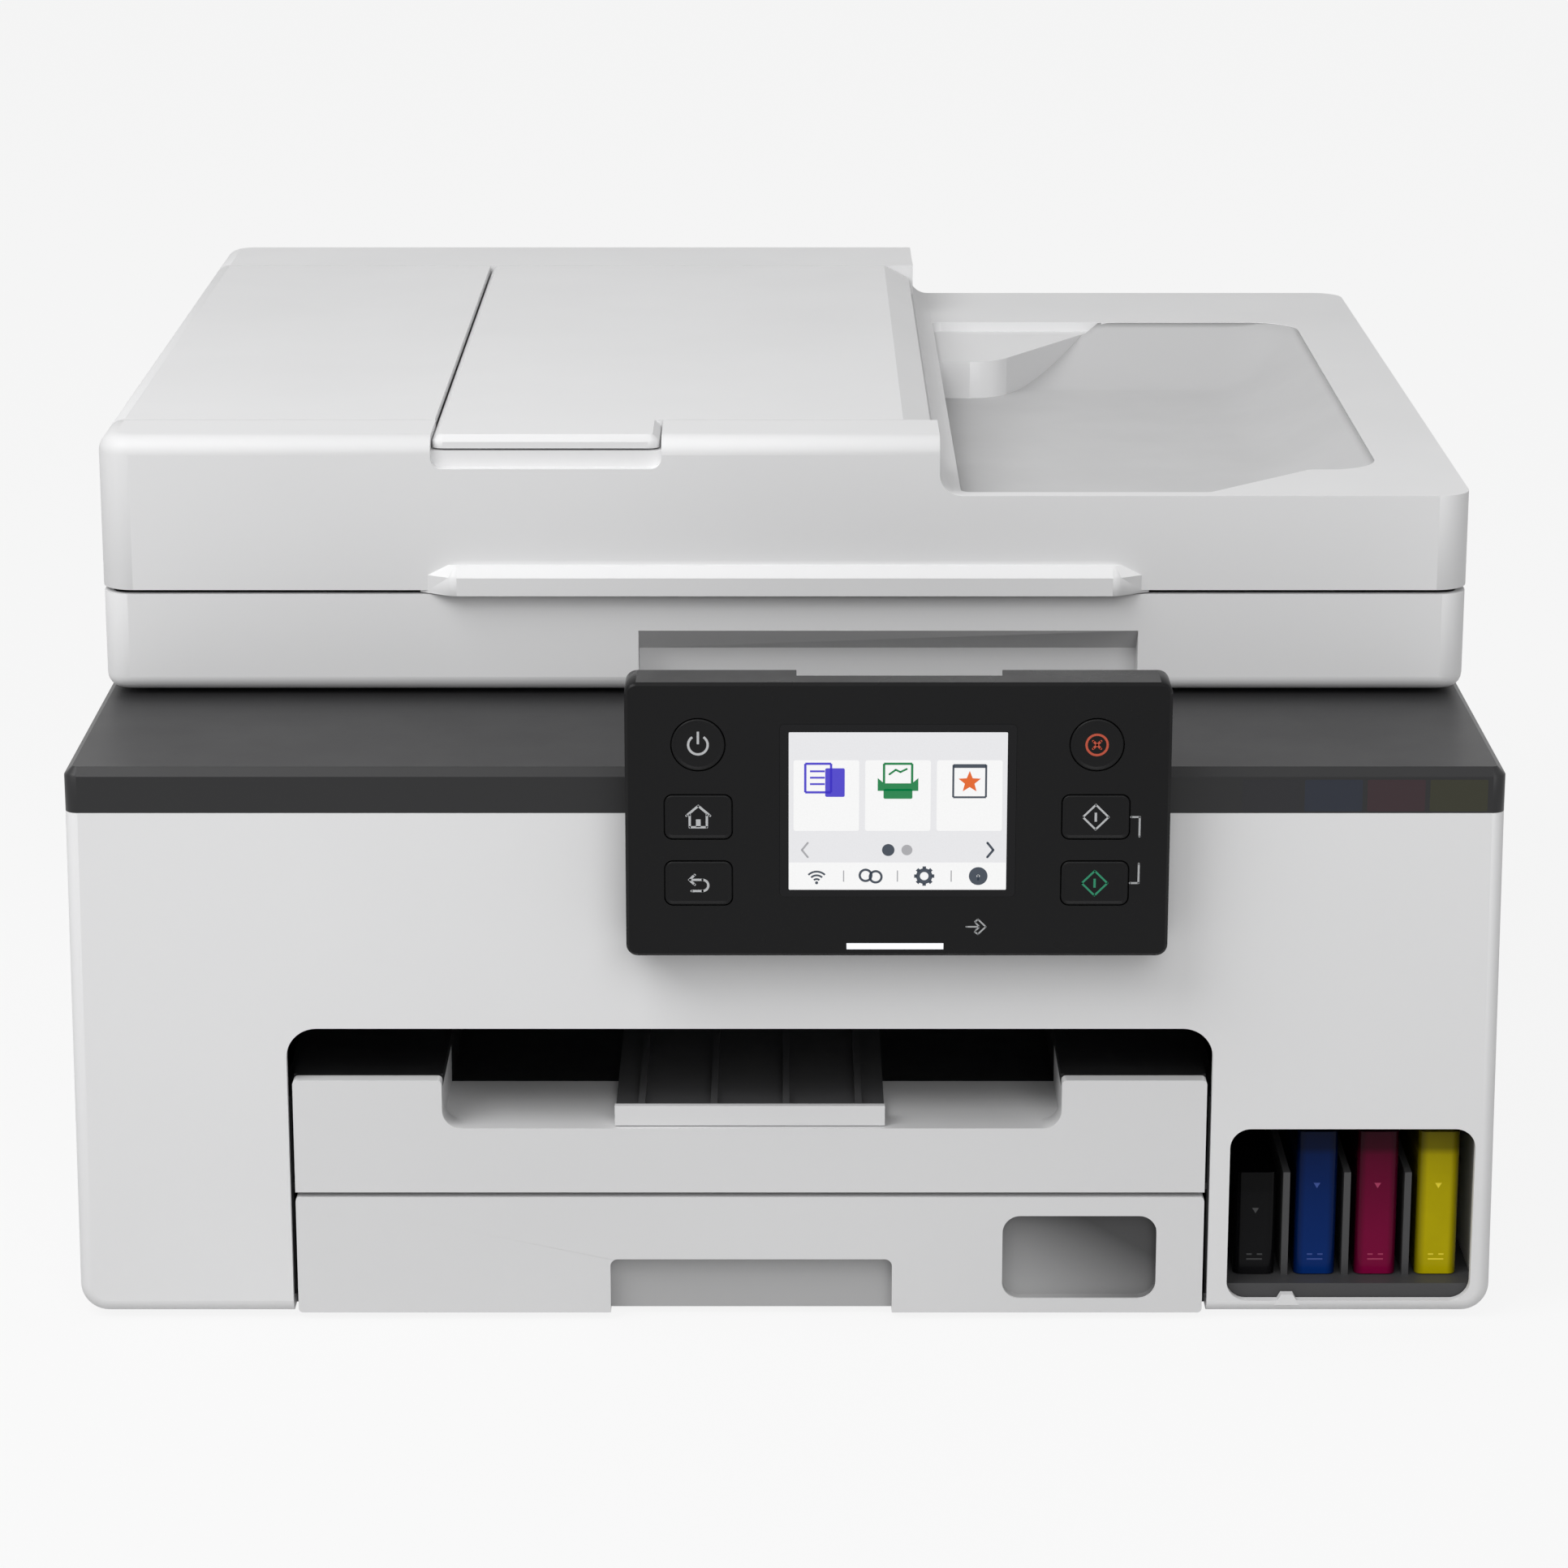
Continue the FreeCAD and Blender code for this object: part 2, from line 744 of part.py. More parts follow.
def rear_openings(body):
    """Power inlet, data port and vent slots through the rear wall."""
    inlet = "(half_width - inlet_side)"
    rear = f"{INNER_REAR} - wall", "rear_face + wall"
    cut(body, "XZ", *rear, rect(f"{inlet} - inlet_width / 2", "inlet_z - inlet_height / 2",
                                f"{inlet} + inlet_width / 2", "inlet_z + inlet_height / 2", "inlet_corner"))
    port = "(board_margin - half_width + board_thickness)"
    cut(body, "XZ", *rear, rect(f"{port} - fit_gap", "usb_z - usb_height / 2 - fit_gap",
                                f"{port} + usb_width + fit_gap", "usb_z + usb_height / 2 + fit_gap"))
    slot = cut(body, "XZ", *rear, rect(f"{inlet} - vent_width / 2", "vent_z",
                                       f"{inlet} + vent_width / 2", "vent_z + vent_height"))
    row(body, [slot], "Z", "vent_pitch", "vent_count")


def rear_cover():
    """Cover at the rear that opens downwards for clearing jammed paper."""
    body = piece("rear_cover")
    pivot = "jam_bottom + jam_pivot_rise"
    left = "jam_left + cover_gap"
    right = "jam_right - cover_gap"
    add(body, "XZ", INNER_REAR, "rear_face", rect(left, f"{pivot} - fit_gap", right, "jam_top - cover_gap"))
    rib = add(body, "XZ", f"{INNER_REAR} - jam_rib", f"{INNER_REAR} + fit_gap",
              rect(f"{left} + jam_rib_inset", f"{pivot} + jam_rib", f"{left} + jam_rib_inset + thin_wall",
                   "jam_top - jam_rib"))
    row(body, [rib], "X", "jam_rib_pitch", "jam_rib_count")
    handle_top = "jam_top - jam_handle_height / 2"
    cut(body, "XZ", "rear_face - wall / 2", "rear_face + wall",
        rect("-jam_handle_width / 2", f"{handle_top} - jam_handle_height", "jam_handle_width / 2", handle_top,
             "jam_handle_height / 4"))
    for inner, outer in ((f"{left} + jam_block", "jam_left - jam_block + wall"),
                         (f"{right} - jam_block", "jam_right + jam_block - wall")):
        start, end = sorted((inner, outer), key=value)
        add_disc(body, "YZ", start, end, INNER_REAR, pivot, "jam_pin")


def lug(body, middle, width, axis_y, axis_z, foot, radius, bore):
    """An upright hinge lug with a round top and a bore, standing on a surface."""
    ends = f"{middle} - ({width}) / 2", f"{middle} + ({width}) / 2"
    add(body, "YZ", *ends, rect(f"{axis_y} - {radius}", foot, f"{axis_y} + {radius}", axis_z))
    add_disc(body, "YZ", *ends, axis_y, axis_z, radius)
    cut_disc(body, "YZ", f"{ends[0]} - wall", f"{ends[1]} + wall", axis_y, axis_z, bore)


def top_deck():
    """Dark ring on top of the base, open over the carriage, with hinge lugs for the scanner and panel."""
    body = piece("top_deck")
    skirt = f"({INNER_HALF} - fit_gap)"
    add(body, "XY", "deck_bottom", "deck_top",
        rect("-half_width", "front_face", "half_width", DECK_REAR, "base_corner"))
    bevel(body, "X", "deck_edge", lambda point, box: near(point.z, box.ZMax) and near(point.y, box.YMin))
    add(body, "XY", "deck_bottom - deck_skirt", "deck_bottom + wall",
        rect(f"-{skirt}", f"{INNER_FRONT} + fit_gap", skirt, f"{INNER_REAR} - fit_gap"))
    cut(body, "XY", "deck_bottom - deck_skirt - wall", "deck_top - wall",
        rect(f"thin_wall - {skirt}", f"{INNER_FRONT} + fit_gap + thin_wall", f"{skirt} - thin_wall",
             f"{INNER_REAR} - fit_gap - thin_wall"))
    left = "(deck_left_margin - half_width)"
    right = "(half_width - deck_right_margin)"
    front = "(front_face + deck_front_depth)"
    rear = f"({DECK_REAR} - deck_rear_depth)"
    add(body, "XY", "deck_bottom", "deck_top - wall / 2",
        rect(f"{left} - thin_wall", f"{front} - thin_wall", f"{right} + thin_wall", f"{rear} + thin_wall",
             "deck_corner + thin_wall"))
    cut(body, "XY", "deck_bottom - wall", "deck_top + wall", rect(left, front, right, rear, "deck_corner"))
    for side in ("-", "+"):
        lug(body, f"{side}scanner_lug_x", "lug_width", SCANNER_AXIS_Y, SCANNER_AXIS_Z, "deck_top - wall / 2",
            "lug_radius", "hinge_pin + running_gap")
        ear_out = "(panel_hinge_out + panel_knuckle_width / 2 + slide_gap + panel_ear_width / 2)"
        ear = f"({PANEL_MID} {side} {ear_out})"
        lug(body, ear, "panel_ear_width", PANEL_PIVOT_Y, PANEL_PIVOT_Z, "deck_top - wall / 2",
            "panel_knuckle", "panel_pin + running_gap")


def rubber_feet():
    """Four round feet under the pan."""
    feet = []
    for across in (f"foot_edge - {PAN_HALF}", f"{PAN_HALF} - foot_edge"):
        for along in ("front_face + foot_edge", "rear_face - foot_edge"):
            foot = doc.addObject("Part::Cone", "foot")
            bind(foot, "Radius1", "foot_radius - thin_wall / 2")
            bind(foot, "Radius2", "foot_radius")
            bind(foot, "Height", "cover_bottom")
            bind(foot, "Placement.Base.x", across)
            bind(foot, "Placement.Base.y", along)
            feet.append(foot)
    group("rubber_feet", feet)


def group(name, members):
    """Separate solids of one kind that share a piece."""
    compound = doc.addObject("Part::Compound", name)
    compound.Label = name
    compound.Links = members
    pieces.append(compound)


def cassette_tray():
    """Paper drawer: floor, low walls, a gap in the rear wall for the pick-up arm and the guides' slots."""
    body = piece("cassette_tray")
    floor = f"({PAN_TOP} + fit_gap)"
    add(body, "XY", floor, "cassette_wall_top", rect(TRAY_LEFT, TRAY_BACK, TRAY_RIGHT, "cassette_rear"))
    cut(body, "XY", f"{floor} + cassette_sheet", "cassette_wall_top + wall",
        rect(f"{TRAY_LEFT} + thin_wall", f"{TRAY_BACK} + thin_wall", f"{TRAY_RIGHT} - thin_wall",
             "cassette_rear - thin_wall", "tray_corner"))
    cut(body, "XZ", "cassette_rear - wall", "cassette_rear + wall",
        rect(f"{TRAY_MID} - arm_notch_half", f"{floor} + cassette_sheet", f"{TRAY_MID} + arm_notch_half",
             "cassette_wall_top + wall"))
    for side in ("-", "+"):
        inner = f"{TRAY_MID} {side} (guide_x - guide_travel - guide_foot)"
        outer = f"{TRAY_MID} {side} (guide_x + guide_foot)"
        cut(body, "XY", f"{floor} - wall", f"{floor} + cassette_sheet + wall / 2",
            rect(inner, GUIDE_SLOT, outer, f"{GUIDE_SLOT} + guide_slot_width"))


def cassette_front():
    """Front of the paper drawer with a finger grip at the bottom and a scooped window."""
    body = piece("cassette_front")
    add(body, "XZ", "front_face", TRAY_BACK,
        rect(TRAY_LEFT, "cassette_bottom", TRAY_RIGHT, CASSETTE_TOP, "front_edge"))
    cut(body, "XZ", "front_face - wall", "front_face + grip_depth", [
        ("grip_left", "cassette_bottom - wall"),
        ("grip_right", "cassette_bottom - wall"),
        ("grip_right", "grip_top", "grip_corner"),
        ("grip_left", "grip_top", "grip_corner"),
    ])
    cut(body, "XZ", "front_face - wall", "front_face + scoop_depth",
        rect("scoop_left", "scoop_bottom", "scoop_right", "scoop_top", "scoop_corner"))


def side_guide(name, side):
    """Paper guide that slides across the drawer: an upright plate on a foot."""
    body = piece(name)
    low = f"({PAN_TOP} + fit_gap + cassette_sheet + fit_gap)"
    face = f"{TRAY_MID} {side} guide_x"
    back = f"{TRAY_MID} {side} (guide_x + thin_wall)"
    foot = f"{TRAY_MID} {side} (guide_x - guide_foot)"
    add(body, "XZ", "guide_front", "guide_front + guide_length", [
        (back, low),
        (foot, low),
        (foot, f"{low} + thin_wall"),
        (face, f"{low} + thin_wall"),
        (face, f"{low} + guide_height"),
        (back, f"{low} + guide_height"),
    ])
    key_gap = f"{GUIDE_SLOT} + fit_gap", f"{GUIDE_SLOT} + guide_slot_width - fit_gap"
    add(body, "XZ", *key_gap, rect(foot, f"{low} - cassette_sheet", face, f"{low} + thin_wall / 2"))


def output_tray():
    """Tray for printed sheets: a front panel with a recess and a sheet that runs back into the slot."""
    body = piece("output_tray")
    low = OUTPUT_BOTTOM
    high = OUTPUT_TOP
    skin = "thin_wall"
    add(body, "XZ", "front_face", TRAY_BACK, [
        (TRAY_LEFT, low),
        (TRAY_RIGHT, low),
        (TRAY_RIGHT, high, "front_edge"),
        ("recess_right", high, "front_edge"),
        ("recess_right", "recess_bottom", "recess_corner"),
        ("recess_left", "recess_bottom", "recess_corner"),
        ("recess_left", high, "front_edge"),
        (TRAY_LEFT, high, "front_edge"),
    ])
    add(body, "XZ", f"{TRAY_BACK} - wall", "output_rear", [
        (TRAY_LEFT, low),
        (f"{TRAY_LEFT} + {skin}", low),
        (f"{TRAY_LEFT} + {skin}", f"{high} - {skin}"),
        (f"recess_left - {skin}", f"{high} - {skin}"),
        (f"recess_left - {skin}", f"recess_bottom - {skin}"),
        (f"recess_right + {skin}", f"recess_bottom - {skin}"),
        (f"recess_right + {skin}", f"{high} - {skin}"),
        (f"{TRAY_RIGHT} - {skin}", f"{high} - {skin}"),
        (f"{TRAY_RIGHT} - {skin}", low),
        (TRAY_RIGHT, low),
        (TRAY_RIGHT, high),
        ("recess_right", high),
        ("recess_right", "recess_bottom"),
        ("recess_left", "recess_bottom"),
        ("recess_left", high),
        (TRAY_LEFT, high),
    ])


def output_extension():
    """Paper stop that pulls out of the output tray's recess."""
    body = piece("output_extension")
    low = "(recess_bottom + fit_gap)"
    front = "(front_face + extension_setback)"
    add(body, "XY", low, f"{low} + thin_wall",
        rect("extension_left", front, "extension_right", f"{front} + extension_length", "front_edge"))
    add(body, "YZ", "extension_left", "extension_right", [
        (front, low),
        (f"{front} + extension_grip", low),
        (f"{front} + extension_grip", "extension_top - thin_wall"),
        (f"{front} + thin_wall", "extension_top"),
        (front, "extension_top"),
    ])
    rail = add(body, "XY", f"{low} + thin_wall / 2", f"{low} + thin_wall * 2",
               rect("extension_left + extension_grip", f"{front} + extension_grip",
                    "extension_left + extension_grip + thin_wall",
                    f"{front} + extension_length - extension_grip"))
    room = "(extension_right - extension_left - 2 * extension_grip - thin_wall)"
    row(body, [rail], "X", f"{room} / (extension_rib_count - 1)", "extension_rib_count")


def tank_bay():
    """Dark holder for the four tanks behind the window."""
    body = piece("tank_bay")
    left = "slot_right + wall + fit_gap"
    right = f"{INNER_HALF} - fit_gap"
    rear = f"({TANK_REAR} + fit_gap)"
    floor = "tank_bottom - fit_gap"
    add(body, "XY", PAN_TOP, floor, rect(left, f"{INNER_FRONT} + fit_gap", right, f"{rear} + wall"))
    add(body, "XY", f"{PAN_TOP} + wall", "tank_top", rect(left, rear, right, f"{rear} + wall"))
    for index in range(1, len(TANK_COLOURS)):
        middle = f"({WINDOW_LEFT} + {index} * {TANK_PITCH})"
        add(body, "XY", f"{PAN_TOP} + wall", "black_tank_top",
            rect(f"{middle} - thin_wall / 2", TANK_FRONT, f"{middle} + thin_wall / 2", f"{rear} + wall / 2"))


def tank_middle(index):
    return f"({WINDOW_LEFT} + {index + 0.5} * {TANK_PITCH})"


def ink_tank(name, index, top):
    """Ink tank with a filler neck and two ears for its cap."""
    body = piece(name)
    middle = tank_middle(index)
    add(body, "XY", "tank_bottom", top,
        rect(f"{middle} - tank_width / 2", TANK_FRONT, f"{middle} + tank_width / 2", TANK_REAR, "tank_round"))
    add_disc(body, "XY", f"{top} - tank_round", "neck_top", middle, NECK_Y, "neck_radius")
    for side in ("-", "+"):
        ends = sorted((f"{middle} {side} (cap_arm / 2 + fit_gap)",
                       f"{middle} {side} (cap_arm / 2 + fit_gap + cap_ear)"), key=value)
        add(body, "YZ", *ends, rect(f"{CAP_HINGE_Y} - cap_knuckle", f"{top} - tank_round",
                                    f"{CAP_HINGE_Y} + cap_knuckle", f"{CAP_AXIS_Z} + cap_knuckle"))
    cut_disc(body, "YZ", f"{middle} - tank_width / 2", f"{middle} + tank_width / 2", CAP_HINGE_Y, CAP_AXIS_Z,
             "cap_pin + running_gap")
    cut_disc(body, "XY", f"{top} - neck_depth", "neck_top + wall", middle, NECK_Y, "neck_bore")


def tank_cap(name, index):
    """Filler cap on a hinged arm, with a plug that dips into the neck."""
    body = piece(name)
    middle = tank_middle(index)
    low = "(neck_top + fit_gap)"
    add_disc(body, "XY", low, f"{low} + cap_height", middle, NECK_Y, "cap_radius")
    add_disc(body, "XY", "neck_top - cap_plug_depth", f"{low} + thin_wall", middle, NECK_Y, "cap_plug")
    arm = f"{middle} - cap_arm / 2", f"{middle} + cap_arm / 2"
    add(body, "YZ", *arm, rect(NECK_Y, f"{CAP_AXIS_Z} - cap_knuckle + fit_gap", CAP_HINGE_Y,
                               f"{CAP_AXIS_Z} + cap_knuckle - fit_gap"))
    add_disc(body, "YZ", *arm, CAP_HINGE_Y, CAP_AXIS_Z, "cap_knuckle - fit_gap")
    reach = "(cap_arm / 2 + fit_gap + cap_ear)"
    add_disc(body, "YZ", f"{middle} - {reach}", f"{middle} + {reach}", CAP_HINGE_Y, CAP_AXIS_Z, "cap_pin")


def engine_frame():
    """Pressed steel frame: two side plates on feet, joined by a back plate, with the shafts' bores."""
    body = piece("engine_frame")
    left = f"({FRAME_LEFT} - frame_sheet)"
    right = f"({FRAME_RIGHT} + frame_sheet)"
    rear = "(frame_rear + frame_sheet)"
    for start, end in ((left, FRAME_LEFT), (FRAME_RIGHT, right)):
        add(body, "YZ", start, end, [
            ("frame_front", PAN_TOP),
            (rear, PAN_TOP),
            (rear, "frame_top"),
            ("rail_y - frame_hole", "frame_top"),
            ("frame_front", "platen_top + frame_hole", "frame_hole"),
        ])
        add(body, "XY", PAN_TOP, f"{PAN_TOP} + frame_sheet",
            rect(start, "frame_front", f"{start} - frame_foot", rear))
    add(body, "XZ", "frame_rear", rear, rect(left, "frame_back_bottom", right, "frame_top"))
    both = f"{left} - wall", f"{right} + wall"
    cut(body, "YZ", *both,
        rect("frame_front + frame_hole", f"{PAN_TOP} + frame_hole", "frame_rear - frame_hole",
             "frame_back_bottom - frame_hole / 2", "frame_hole / 2"))
    cut_disc(body, "YZ", *both, "feed_y", "feed_z", "feed_shaft + running_gap")
    cut_disc(body, "YZ", *both, "eject_y", "eject_z", "eject_shaft + running_gap")
    cut_disc(body, "YZ", *both, "feed_y", PINCH_Z, "pinch_shaft + running_gap")
    for across in (DRIVE_X, IDLER_X):
        cut_disc(body, "XZ", "frame_rear - wall", f"{rear} + wall", across, "rail_z",
                 "pulley_shaft + running_gap")
    for side in ("-", "+"):
        ends = sorted((f"{TRAY_MID} {side} (arm_half + arm_ear_gap)",
                       f"{TRAY_MID} {side} (arm_half + arm_ear_gap + arm_ear)"), key=value)
        add(body, "YZ", *ends, rect("arm_pivot_y - arm_knuckle", "arm_pivot_z - arm_knuckle",
                                    "frame_rear + thin_wall / 2", "arm_pivot_z + arm_knuckle"))
    cut_disc(body, "YZ", f"{TRAY_MID} - arm_notch_half", f"{TRAY_MID} + arm_notch_half", "arm_pivot_y",
             "arm_pivot_z", "arm_pin + running_gap")


def carriage_rail():
    """Round rail that the carriage runs on, between the side plates."""
    body = piece("carriage_rail")
    add_disc(body, "YZ", FRAME_LEFT, FRAME_RIGHT, "rail_y", "rail_z", "rail_radius")


def carriage():
    """Print carriage: an open box on the rail with dividers, the print head below and the belt's clamp."""
    body = piece("carriage")
    left = f"({CARRIAGE_X} - carriage_half)"
    right = f"({CARRIAGE_X} + carriage_half)"
    add(body, "YZ", left, right, [
        ("carriage_front", "carriage_bottom", "front_edge"),
        ("carriage_rear", "carriage_bottom", "front_edge"),
        ("carriage_rear", "carriage_top", "carriage_corner"),
        ("carriage_front", "carriage_top - carriage_corner", "carriage_corner"),
    ])
    well_rear = "rail_y - rail_radius - wall * 2"
    cut(body, "XY", "carriage_bottom + carriage_corner", "carriage_top + wall",
        rect(f"{left} + wall", "carriage_front + wall", f"{right} - wall", well_rear))
    pitch = "((carriage_half * 2 - thin_wall - wall) / (divider_count + 1))"
    divider = add(body, "XY", "carriage_bottom + wall", "carriage_top - carriage_corner * 2",
                  rect(f"{left} + wall / 2 + {pitch}", "carriage_front + wall / 2",
                       f"{left} + wall / 2 + {pitch} + thin_wall", f"{well_rear} + wall / 2"))
    row(body, [divider], "X", pitch, "divider_count")
    cut_disc(body, "YZ", f"{left} - wall", f"{right} + wall", "rail_y", "rail_z", "rail_radius + running_gap")
    add(body, "XY", "carriage_bottom - head_drop", "carriage_bottom + wall",
        rect(f"{left} + carriage_corner", "platen_front + carriage_corner", f"{right} - carriage_corner",
             "platen_rear - carriage_corner", "front_edge"))
    clamp_low = "rail_z - pulley_radius - carriage_corner"
    add(body, "XY", clamp_low, f"{clamp_low} + carriage_corner * 2",
        rect(f"{CARRIAGE_X} - carriage_corner", "carriage_rear - wall", f"{CARRIAGE_X} + carriage_corner",
             "belt_y - slide_gap"))


def carriage_belt():
    """Closed belt round the two pulleys."""
    body = piece("carriage_belt")
    inner = "(pulley_radius + pulley_gap)"
    outer = f"({inner} + belt_thickness)"
    span = "belt_y", "belt_y + belt_width"
    add(body, "XZ", *span, rect(IDLER_X, f"rail_z - {outer}", DRIVE_X, f"rail_z + {outer}"))
    for across in (IDLER_X, DRIVE_X):
        add_disc(body, "XZ", *span, across, "rail_z", outer)
    cut(body, "XZ", *span, rect(IDLER_X, f"rail_z - {inner}", DRIVE_X, f"rail_z + {inner}"))
    for across in (IDLER_X, DRIVE_X):
        cut_disc(body, "XZ", *span, across, "rail_z", inner)


def belt_pulley(name, across):
    """Belt pulley on a shaft that turns in the back plate."""
    body = piece(name)
    turn(body, "YZ", across, "rail_z", [
        ("belt_y", "0"),
        ("belt_y", "pulley_radius"),
        ("belt_y + belt_width", "pulley_radius"),
        ("belt_y + belt_width", "pulley_shaft"),
        ("frame_rear + frame_sheet - fit_gap", "pulley_shaft"),
        ("frame_rear + frame_sheet - fit_gap", "0"),
    ])


def carriage_motor():
    """Carriage motor behind the back plate, with its end bell."""
    body = piece("carriage_motor")
    face = "(frame_rear + frame_sheet)"
    turn(body, "YZ", DRIVE_X, "rail_z", [
        (face, "0"),
        (face, "motor_radius"),
        (f"{face} + motor_length", "motor_radius"),
        (f"{face} + motor_length", "motor_radius / 2"),
        (f"{face} + motor_length + thin_wall", "motor_radius / 2"),
        (f"{face} + motor_length + thin_wall", "0"),
    ])


def stepped_roller(name, along_y, height, left, right, shaft, radius, count, width):
    """A shaft with evenly spaced rollers between the sheet's edges."""
    body = piece(name)
    pitch = f"((sheet_right - sheet_left - {width}) / ({count} - 1))"
    profile = [(left, "0"), (left, shaft)]
    for index in range(int(value(count))):
        start = f"sheet_left + {index} * {pitch}"
        end = f"{start} + {width}"
        profile += [(start, shaft), (start, radius), (end, radius), (end, shaft)]
    profile += [(right, shaft), (right, "0")]
    turn(body, "XZ", along_y, height, profile)


def feed_roller():
    """Main feed roller with its drive gear outside the left plate."""
    body = piece("feed_roller")
    gear_right = f"({FRAME_LEFT} - frame_sheet - slide_gap)"
    gear_left = f"({gear_right} - feed_gear_width)"
    end = f"{FRAME_RIGHT} + frame_sheet"
    coat = "sheet_left - roller_margin", "sheet_right + roller_margin"
    turn(body, "XZ", "feed_y", "feed_z", [
        (gear_left, "0"),
        (gear_left, "feed_gear"),
        (gear_right, "feed_gear"),
        (gear_right, "feed_shaft"),
        (coat[0], "feed_shaft"),
        (coat[0], "feed_radius"),
        (coat[1], "feed_radius"),
        (coat[1], "feed_shaft"),
        (end, "feed_shaft"),
        (end, "0"),
    ])


def platen():
    """Ribbed support under the print head."""
    body = piece("platen")
    right = f"({FRAME_RIGHT} - purge_width - thin_wall)"
    add(body, "XY", "platen_top - platen_height", "platen_top",
        rect(FRAME_LEFT, "platen_front", right, "platen_rear"))
    rib = add(body, "XY", "platen_top - platen_rib", "platen_top + platen_rib",
              rect("sheet_left", "platen_front", "sheet_left + platen_rib_width", "platen_rear"))
    row(body, [rib], "X", "platen_rib_pitch", "platen_rib_count")
    trough = "platen_height / 2"
    cut(body, "XY", f"platen_top - {trough}", "platen_top + platen_rib + wall",
        rect("sheet_left - roller_margin", "platen_front + frame_hole", "sheet_right",
             "platen_front + frame_hole * 2", "front_edge"))


def purge_unit():
    """Cleaning station under the parked carriage, with a soft cap and a wiper."""
    body = piece("purge_unit")
    left = f"({FRAME_RIGHT} - purge_width)"
    add(body, "XY", "purge_bottom", "purge_top", rect(left, "purge_front", FRAME_RIGHT, "purge_rear"))
    cap = f"({CARRIAGE_X} - carriage_half / 2)", f"({CARRIAGE_X} + carriage_half / 2)"
    lip = "purge_front + frame_hole / 2", "purge_rear - frame_hole / 2"
    add(body, "XY", "purge_top - wall", "purge_cap_top", rect(cap[0], lip[0], cap[1], lip[1], "tray_corner"))
    cut(body, "XY", "purge_top", "purge_cap_top + wall",
        rect(f"{cap[0]} + wall", f"{lip[0]} + wall", f"{cap[1]} - wall", f"{lip[1]} - wall", "front_edge"))
    add(body, "XY", "purge_top - wall", "purge_cap_top",
        rect(f"{left} + wall", lip[0], f"{left} + wall + thin_wall", lip[1]))


def pickup_arm():
    """Arm that hangs from the back plate and holds the pick-up roller over the paper."""
    body = piece("pickup_arm")
    ends = f"{TRAY_MID} - arm_half", f"{TRAY_MID} + arm_half"
    add(body, "YZ", *ends, [
        ("arm_pivot_y - arm_knuckle", "arm_pivot_z"),
        ("pickup_y - arm_knuckle", "pickup_z"),
        ("pickup_y + arm_knuckle", "pickup_z"),
        ("arm_pivot_y + arm_knuckle", "arm_pivot_z"),
    ])
    add_disc(body, "YZ", *ends, "arm_pivot_y", "arm_pivot_z", "arm_knuckle")
    add_disc(body, "YZ", *ends, "pickup_y", "pickup_z", "arm_knuckle")
    reach = "(arm_half + arm_ear_gap + arm_ear)"
    add_disc(body, "YZ", f"{TRAY_MID} - {reach}", f"{TRAY_MID} + {reach}", "arm_pivot_y", "arm_pivot_z",
             "arm_pin")
    cut_disc(body, "YZ", f"{ends[0]} - wall", f"{ends[1]} + wall", "pickup_y", "pickup_z",
             "arm_pin + running_gap")


def pickup_roller():
    """Pair of rubber tyres on a shaft through the arm."""
    body = piece("pickup_roller")
    near_side = "(arm_half + slide_gap)"
    far_side = f"({near_side} + pickup_width)"
    turn(body, "XZ", "pickup_y", "pickup_z", [
        (f"{TRAY_MID} - {far_side}", "0"),
        (f"{TRAY_MID} - {far_side}", "pickup_radius"),
        (f"{TRAY_MID} - {near_side}", "pickup_radius"),
        (f"{TRAY_MID} - {near_side}", "arm_pin"),
        (f"{TRAY_MID} + {near_side}", "arm_pin"),
        (f"{TRAY_MID} + {near_side}", "pickup_radius"),
        (f"{TRAY_MID} + {far_side}", "pickup_radius"),
        (f"{TRAY_MID} + {far_side}", "0"),
    ])


def main_board():
    """Upright circuit board at the left side with its chips, a row of connectors and the data port."""
    body = piece("main_board")
    back = "(board_margin - half_width)"
    face = f"({back} + board_thickness)"
    rear = "(rear_face - board_rear_gap)"
    add(body, "YZ", back, face, rect("board_front", PAN_TOP, rear, "board_top"))
    chip = "board_chip"
    add(body, "YZ", f"{face} - board_thickness / 2", f"{face} + wall",
        rect("board_front + chip_inset", "usb_z", f"board_front + chip_inset + {chip}", f"usb_z + {chip}"))
    plug = add(body, "YZ", f"{face} - board_thickness / 2", f"{face} + usb_height / 2",
               rect("board_front + chip_inset", f"board_top - {chip} / 2",
                    f"board_front + chip_inset + {chip} / 2", f"board_top - {chip} / 4"))
    row(body, [plug], "Y", chip, "plug_count")
    add(body, "YZ", face, f"{face} + usb_width",
        rect(f"{rear} - usb_height", "usb_z - usb_height / 2", "rear_face - slide_gap",
             "usb_z + usb_height / 2"))
    cut(body, "XZ", f"{rear} + wall", "rear_face + wall",
        rect(f"{face} + thin_wall", "usb_z - usb_height / 2 + thin_wall", f"{face} + usb_width - thin_wall",
             "usb_z + usb_height / 2 - thin_wall"))


def power_supply():
    """Sheet-metal power supply box at the front left with vent slots in its top."""
    body = piece("power_supply")
    left = "(supply_margin - half_width)"
    front = "(front_face + supply_setback)"
    add(body, "XY", PAN_TOP, "supply_top",
        rect(left, front, f"{left} + supply_width", f"{front} + supply_length"))
    slot = cut(body, "XY", "supply_top - wall", "supply_top + wall",
               rect(f"{left} + supply_width / 6", f"{front} + vent_pitch", f"{left} + supply_width * 5 / 6",
                    f"{front} + vent_pitch + vent_height"))
    row(body, [slot], "Y", "vent_pitch", "vent_count")


